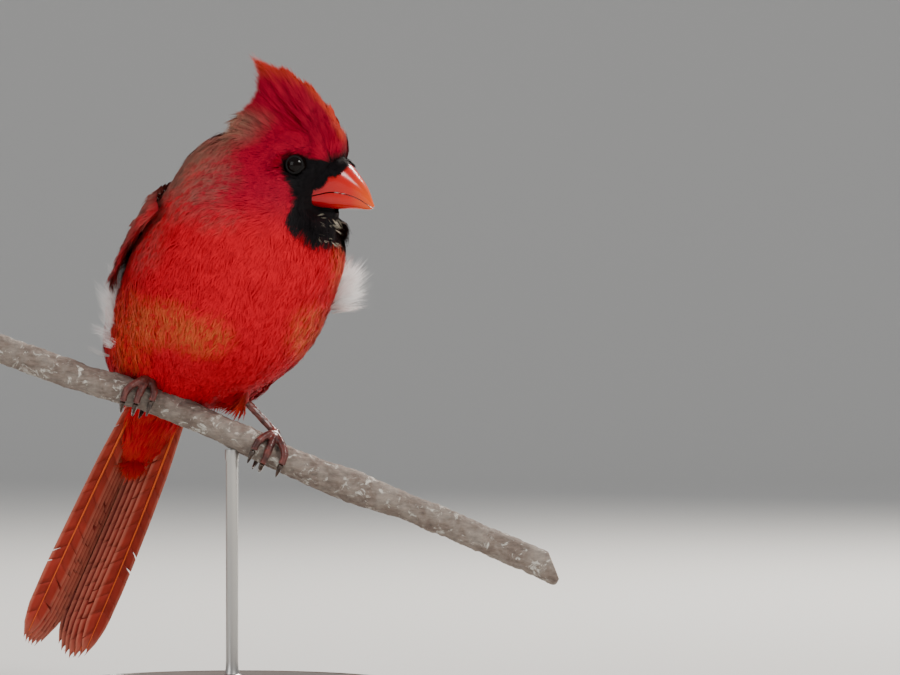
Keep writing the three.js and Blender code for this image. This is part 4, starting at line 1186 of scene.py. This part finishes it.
def horn_material():
    """Coral horn, lighter and yellower towards the tip, with a faint grain."""
    material, shader = plain_material("coral_horn", (0.8, 0.09, 0.02), 0.22)
    shader.inputs["Specular IOR Level"].default_value = 0.4
    tree = material.node_tree
    on_bill = object_places(tree, Location=head_frame.translation, Rotation=head_frame.to_euler())
    on_bill.node.vector_type = "TEXTURE"
    split = node(tree, "SeparateXYZ")
    along = node(tree, "MapRange", From_Min=14 * MM, From_Max=29 * MM)
    tree.links.new(on_bill, split.inputs["Vector"])
    tree.links.new(split.outputs["X"], along.inputs["Value"])
    tone = ramp(
        tree, along.outputs["Result"],
        (0, (0.4, 0.001, 0.006)), (1, (0.75, 0.09, 0.005)), (0.55, (0.55, 0.007, 0.003)),
    )
    tree.links.new(tone, shader.inputs["Base Color"])
    flecks = texture(tree, object_places(tree), "TexNoise", Scale=500, Detail=4)
    relief(tree, flecks, 0.12, 0.2 * MM)
    return material


coral_horn = horn_material()
upper_bill = bill_half("upper_bill", CULMEN, CUTTING_EDGE, UPPER_HALF_WIDTHS, 0.75, "bill_upper")
lower_bill = bill_half("lower_bill", GONYS, LOWER_CUTTING_EDGE, LOWER_HALF_WIDTHS, 0.6, "bill_lower")
for piece in (upper_bill, lower_bill):
    piece.data.materials.append(coral_horn)
NOSTRIL = (17.6, 6.3, 0.7)
NOSTRIL_RADII = (0.95, 0.8, 0.6)
for side in (-1, 1):
    bpy.ops.mesh.primitive_uv_sphere_add(segments=24, ring_count=12, radius=1)
    drill = bpy.context.active_object
    placed = Matrix.Translation(Vector((NOSTRIL[0], side * NOSTRIL[1], NOSTRIL[2])) * MM)
    drill.matrix_world = head_frame @ placed @ Matrix.Diagonal((*(np.array(NOSTRIL_RADII) * MM), 1))
    bpy.ops.object.transform_apply(location=True, rotation=True, scale=True)
    apply_modifier(upper_bill, "BOOLEAN", operation="DIFFERENCE", object=drill, solver="EXACT")
    bpy.data.objects.remove(drill)

# Lores. Short black feathers root at the bill's base and reach forward over its horn and the nostrils,
# and fine pale bristles stand out from the throat's front edge.
LORE_FEATHERS = 1500
LORE_LIFT = 0.35
LORE_CURVE = 40
BRISTLES = 30
BRISTLE_WIDTH = 0.5
BRISTLE_CURVE = 90
BRISTLE_WHITE = np.array((0.75, 0.68, 0.52))
horn = upper_bill.data
horn_places = vertex_places(upper_bill)
horn.calc_loop_triangles()
horn_faces = values_of(horn.loop_triangles, "vertices", 3, np.int32)
horn_normals = np.array([tuple(face.normal) for face in horn.loop_triangles])
horn_areas = np.array([face.area for face in horn.loop_triangles])
horn_middles = horn_places[horn_faces].mean(axis=1)
on_horn = local(horn_middles, head_frame)
past = past_gape(on_horn)
at_base = (past < -0.4) & (past > -5) & (on_horn[:, 2] > -4)
outward = np.sum(horn_normals * world_direction(on_horn * (0, 1, 0.2), head_frame), axis=1) > 0
weights = horn_areas * (at_base & outward)
picks = rng.choice(len(weights), LORE_FEATHERS, p=weights / weights.sum())
lore_ways = world_direction((1, 0, -0.55), head_frame) + rng.normal(0, 0.25, (LORE_FEATHERS, 3))
lore_normals = unit(horn_normals[picks])
lore_ways = unit(lore_ways - lore_normals * np.sum(lore_ways * lore_normals, axis=1, keepdims=True))
lore_spots = horn_middles[picks] + rng.normal(0, 0.25 * MM, (LORE_FEATHERS, 3))
lore_uv = 0.5 + on_horn[picks][:, (0, 2)] * 0.02
lore_lengths = rng.uniform(1.5, 2.6, LORE_FEATHERS) * MM


def lore_tint(points, tips):
    return np.tile(MASK_BLACK, (len(points), 1))


def bristle_tint(points, tips):
    return mix(MASK_BLACK, BRISTLE_WHITE, ease(0.1, 0.6, tips))


fans = barb_fans(
    lore_spots, lore_normals, lore_ways, lore_uv, lore_lengths, lore_lengths * 0.55,
    LORE_LIFT * MM, LORE_CURVE * MM, lore_tint,
)
feather_mesh("coat_lores", fans, soft_plumage)

forward, left, up = on_head.T
throat = (up < -13) & (up > -21) & (forward > 12) & (left < 5) & (mask_share(roots) > 0.5)
picks = rng.choice(np.flatnonzero(throat), BRISTLES)
forward_down = world_direction((1, -0.2, -0.7), head_frame)
bristle_ways = unit(forward_down + 0.4 * normals[picks] + rng.normal(0, 0.3, (BRISTLES, 3)))
bristle_sides = unit(np.cross(bristle_ways, rng.normal(0, 1, (BRISTLES, 3))))
bristle_lengths = rng.uniform(3, 6, BRISTLES) * MM
fans = barb_fans(
    roots[picks], bristle_sides, bristle_ways, root_uv[picks], bristle_lengths,
    np.full(BRISTLES, BRISTLE_WIDTH * MM), 0, BRISTLE_CURVE * MM, bristle_tint, barbs=2, thick=0.1,
)
feather_mesh("throat_bristles", fans, soft_plumage)

# Eyes. Each is a wet dark ball set in the side of the head, and a thin ring of bare grey skin lies round
# the part of it that shows.
wet_eye, eye_shader = plain_material("wet_dark_eye", (0.004, 0.002, 0.0015), 0.05)
eye_shader.inputs["Specular IOR Level"].default_value = 0.16
lid_skin, lid_shader = plain_material("bare_lid_skin", (0.006, 0.005, 0.005), 0.6)
lid_shader.inputs["Specular IOR Level"].default_value = 0.15
EYE_RADIUS = 3.6
LID_RADIUS = 2.6
LID_THICKNESS = 0.42
LID_LEAN = (0.08, 0.02)
for side, name in ((1, "left"), (-1, "right")):
    low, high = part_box(f"eye_{name}")
    centre = (low + high) / 2
    bpy.ops.mesh.primitive_uv_sphere_add(segments=64, ring_count=32, radius=EYE_RADIUS * MM, location=centre)
    eye = bpy.context.active_object
    eye.name = f"eyeball_{name}"
    bpy.ops.object.transform_apply(location=True, rotation=True, scale=True)
    bpy.ops.object.shade_smooth()
    eye.data.materials.append(wet_eye)
    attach(eye, "root")
    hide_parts(f"eye_{name}")
    outward = head_frame.to_3x3() @ Vector((LID_LEAN[0], side, LID_LEAN[1])).normalized()
    reach = math.sqrt(EYE_RADIUS**2 - LID_RADIUS**2) * MM
    bpy.ops.mesh.primitive_torus_add(
        major_radius=LID_RADIUS * MM, minor_radius=LID_THICKNESS * MM, major_segments=64, minor_segments=16,
        location=centre + outward * reach, rotation=outward.to_track_quat("Z", "Y").to_euler(),
    )
    lid = bpy.context.active_object
    lid.name = f"eyelid_{name}"
    bpy.ops.object.transform_apply(location=True, rotation=True, scale=True)
    bpy.ops.object.shade_smooth()
    lid.data.materials.append(lid_skin)
    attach(lid, "root")

# Legs and feet. Bone and tendon in scaly skin: plates ring the shank and the tops of the toes.
# The toes grip the perch, three in front and one behind, and each ends in a curved claw of horn.
LEG_GRAIN = 0.24 * MM
PLATE_PITCH = 1.1
PLATE_HEIGHT = 0.11
# The toes lie within the first of these distances from the perch's middle, on the second on average
TOE_REACH = 9.5
TOE_RADIUS = 7
CLAW_GRAIN = 0.13 * MM
perch_tree = BVHTree.FromObject(frame["nodes"]["perch"], bpy.context.evaluated_depsgraph_get())


def perch_axis(x):
    """The perch's middle at one X, found from its top and its underside, in metres."""
    top = perch_tree.ray_cast(Vector((x, 0, 1)), Vector((0, 0, -1)))[0]
    underside = perch_tree.ray_cast(Vector((x, 0, -1)), Vector((0, 0, 1)))[0]
    return (top + underside) / 2


def skin_material(name, dark, light, roughness):
    material, shader = plain_material(name, dark, roughness)
    tree = material.node_tree
    mottle = texture(tree, object_places(tree), "TexNoise", Scale=420, Detail=5)
    tree.links.new(ramp(tree, mottle, (0.35, dark), (0.7, light)), shader.inputs["Base Color"])
    relief(tree, mottle, 0.4, 0.15 * MM)
    return material


scaly_skin = skin_material("scaly_leg_skin", (0.05, 0.014, 0.012), (0.19, 0.05, 0.04), 0.32)
claw_horn = skin_material("claw_horn", (0.02, 0.012, 0.01), (0.09, 0.06, 0.045), 0.25)
for name in ("left", "right"):
    leg = copy_of(f"scaly_leg_{name}", f"leg_{name}")
    smooth_form(leg, LEG_GRAIN, 8, grow=0.05 * MM)
    for vertex in leg.data.vertices:
        axis = perch_axis(vertex.co.x)
        around = math.atan2(axis.y - vertex.co.y, vertex.co.z - axis.z)
        radius = math.hypot(vertex.co.y - axis.y, vertex.co.z - axis.z) / MM
        along = abs(around) * TOE_RADIUS if radius < TOE_REACH else radius
        ridge = (along / PLATE_PITCH) % 1
        vertex.co += vertex.normal * (PLATE_HEIGHT * MM * (ridge**0.6 - 0.5))
    leg.data.materials.append(scaly_skin)
    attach(leg, "root")
    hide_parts(f"leg_{name}")
    nodes = [f"claw_{name}_{number}" for number in (1, 2, 3, 4)]
    claws = copy_of(f"claws_{name}", *nodes)
    smooth_form(claws, CLAW_GRAIN, 5, grow=0.06 * MM)
    claws.data.materials.append(claw_horn)
    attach(claws, "root")
    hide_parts(*nodes)

# Perch. A living twig cut to length, still in its bark, with a swollen knot and patches of pale lichen.
# Both its ends are sawn square and show the pale grain of the wood.
BARK_GRAIN = 0.85 * MM


def bark_texture(name, kind, size):
    made = bpy.data.textures.new(name, kind)
    made.noise_scale = size * MM
    return made


def blend_of(tree, share, first, second):
    """A mix of two colours. The share is a number or a pattern, and the second a colour or an output."""
    made = node(tree, "Mix")
    made.data_type = "RGBA"
    for key, value in (("Factor", share), ("A", first), ("B", second)):
        if isinstance(value, bpy.types.NodeSocket):
            tree.links.new(value, made.inputs[key])
        else:
            made.inputs[key].default_value = value
    return made.outputs["Result"]


def bark_material():
    """Grey-brown bark, dark in its cracks, with pale crusts of lichen."""
    material, shader = plain_material("lichened_bark", (0.2, 0.16, 0.13), 0.85)
    tree = material.node_tree
    along_twig = object_places(tree, Rotation=(0, math.radians(23), 0), Scale=(0.35, 1, 1))
    places = object_places(tree)
    streaks = texture(tree, along_twig, "TexNoise", Scale=900, Detail=6, Roughness=0.65)
    patches = texture(tree, places, "TexNoise", Scale=170, Detail=5, Roughness=0.6, Distortion=0.4)
    crust = texture(tree, places, "TexNoise", Scale=260, Detail=7, Roughness=0.7, Distortion=0.8)
    bark = ramp(tree, streaks, (0.3, (0.045, 0.032, 0.026)), (0.7, (0.3, 0.235, 0.19)))
    mould = ramp(tree, patches, (0.4, (0.16, 0.12, 0.1)), (0.62, (0.33, 0.29, 0.25)))
    lichen = ramp(tree, crust, (0.56, (0, 0, 0)), (0.64, (1, 1, 1)))
    colour = blend_of(tree, lichen, blend_of(tree, 0.5, bark, mould), (0.58, 0.56, 0.5, 1))
    tree.links.new(colour, shader.inputs["Base Color"])
    relief(tree, streaks, 0.8, 0.5 * MM)
    return material


def end_grain_material():
    material, shader = plain_material("pale_end_grain", (0.55, 0.4, 0.25), 0.7)
    tree = material.node_tree
    grain = texture(tree, object_places(tree), "TexNoise", Scale=700)
    tone = ramp(tree, grain, (0, (0.3, 0.19, 0.1)), (1, (0.66, 0.5, 0.33)))
    tree.links.new(tone, shader.inputs["Base Color"])
    return material


twig = copy_of("twig_perch", "perch")
smooth_form(twig, BARK_GRAIN, 10, grow=0.1 * MM)
apply_modifier(twig, "SUBSURF", levels=1, render_levels=1)
for name, kind, size, height in (("bark_lumps", "CLOUDS", 7, 0.9), ("bark_cracks", "STUCCI", 1.8, 0.5)):
    pattern = bark_texture(name, kind, size)
    apply_modifier(twig, "DISPLACE", strength=height * MM, texture=pattern, mid_level=0.5)
low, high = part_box("perch")
END_INSET = 3.6 * MM
select_only(twig)
twig.data.materials.append(bark_material())
twig.data.materials.append(end_grain_material())
for x, sense in ((low.x + END_INSET, -1), (high.x - END_INSET, 1)):
    step = perch_axis(x + MM) - perch_axis(x - MM)
    bpy.ops.object.mode_set(mode="EDIT")
    bpy.ops.mesh.select_all(action="SELECT")
    bpy.ops.mesh.bisect(
        plane_co=perch_axis(x), plane_no=step.normalized() * sense, use_fill=True, clear_outer=True
    )
    bpy.context.object.active_material_index = 1
    bpy.ops.object.material_slot_assign()
    bpy.ops.object.mode_set(mode="OBJECT")
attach(twig, "root")
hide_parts("perch")

# Stand. A turned and varnished hardwood base, and a steel rod with a collar at its foot. The rod stands in
# the base and holds the twig from below.
def turned(name, profile, steps, material, slot):
    """A solid turned round the vertical axis from its outline, in millimetres from the axis and the floor."""
    mesh = bpy.data.meshes.new(name)
    points = [(r * MM, 0, z * MM) for r, z in profile]
    mesh.from_pydata(points, [(i, i + 1) for i in range(len(points) - 1)], [])
    piece = new_piece(name, mesh)
    select_only(piece)
    bpy.ops.object.mode_set(mode="EDIT")
    bpy.ops.mesh.select_all(action="SELECT")
    bpy.ops.mesh.spin(steps=steps, angle=2 * math.pi, center=(0, 0, 0), axis=(0, 0, 1))
    bpy.ops.mesh.select_all(action="SELECT")
    bpy.ops.mesh.remove_doubles(threshold=SAME_PLACE)
    bpy.ops.mesh.normals_make_consistent(inside=False)
    bpy.ops.object.mode_set(mode="OBJECT")
    bpy.ops.object.shade_smooth_by_angle(angle=math.radians(35))
    piece.data.materials.append(material)
    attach(piece, "root")
    return piece


def base_wood_material():
    material, shader = plain_material("dark_varnished_wood", (0.1, 0.045, 0.02), 0.28)
    shader.inputs["Coat Weight"].default_value = 0.5
    shader.inputs["Coat Roughness"].default_value = 0.12
    tree = material.node_tree
    places = object_places(tree, Scale=(0.12, 1, 1))
    grain = texture(tree, places, "TexNoise", Scale=260, Detail=8, Distortion=0.6)
    tone = ramp(tree, grain, (0.3, (0.035, 0.014, 0.006)), (0.7, (0.17, 0.075, 0.032)))
    tree.links.new(tone, shader.inputs["Base Color"])
    return material


def brushed_steel_material():
    material, _ = plain_material("brushed_steel", (0.5, 0.49, 0.47), 0.32, 1.0)
    tree = material.node_tree
    lines = texture(tree, object_places(tree, Scale=(1, 1, 0.02)), "TexNoise", Scale=4000)
    relief(tree, lines, 0.25, 0.05 * MM)
    return material


BASE_PROFILE = [
    (0, 0), (57.6, 0), (58.6, 0.4), (59, 1.2), (59, 4.6), (58.4, 5.2), (58.4, 5.8), (58.9, 6.4), (58.9, 7.6),
    (58.3, 8.9), (57, 9.7), (55.4, 10), (53.6, 10), (53.2, 9.6), (52.6, 9.6), (52.2, 10), (0, 10),
]
# The rod ends in the bark, this far under the twig's middle
UNDER_AXIS = 4.7
ROD_TOP = perch_axis(0).z / MM - UNDER_AXIS
ROD_PROFILE = [
    (0, 9.9), (6.2, 9.9), (6.2, 10.9), (5.8, 11.5), (3.6, 11.9), (2.5, 12.8), (2.1, 14.5), (2, 17),
    (2, ROD_TOP - 4), (2.3, ROD_TOP - 3), (2.3, ROD_TOP - 0.2), (0, ROD_TOP),
]
base = turned("turned_base", BASE_PROFILE, 128, base_wood_material(), "stand_wood")
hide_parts("stand_base")
rod = turned("steel_rod", ROD_PROFILE, 48, brushed_steel_material(), "stand_metal")
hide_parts("stand_rod")

bpy.ops.object.select_all(action="DESELECT")
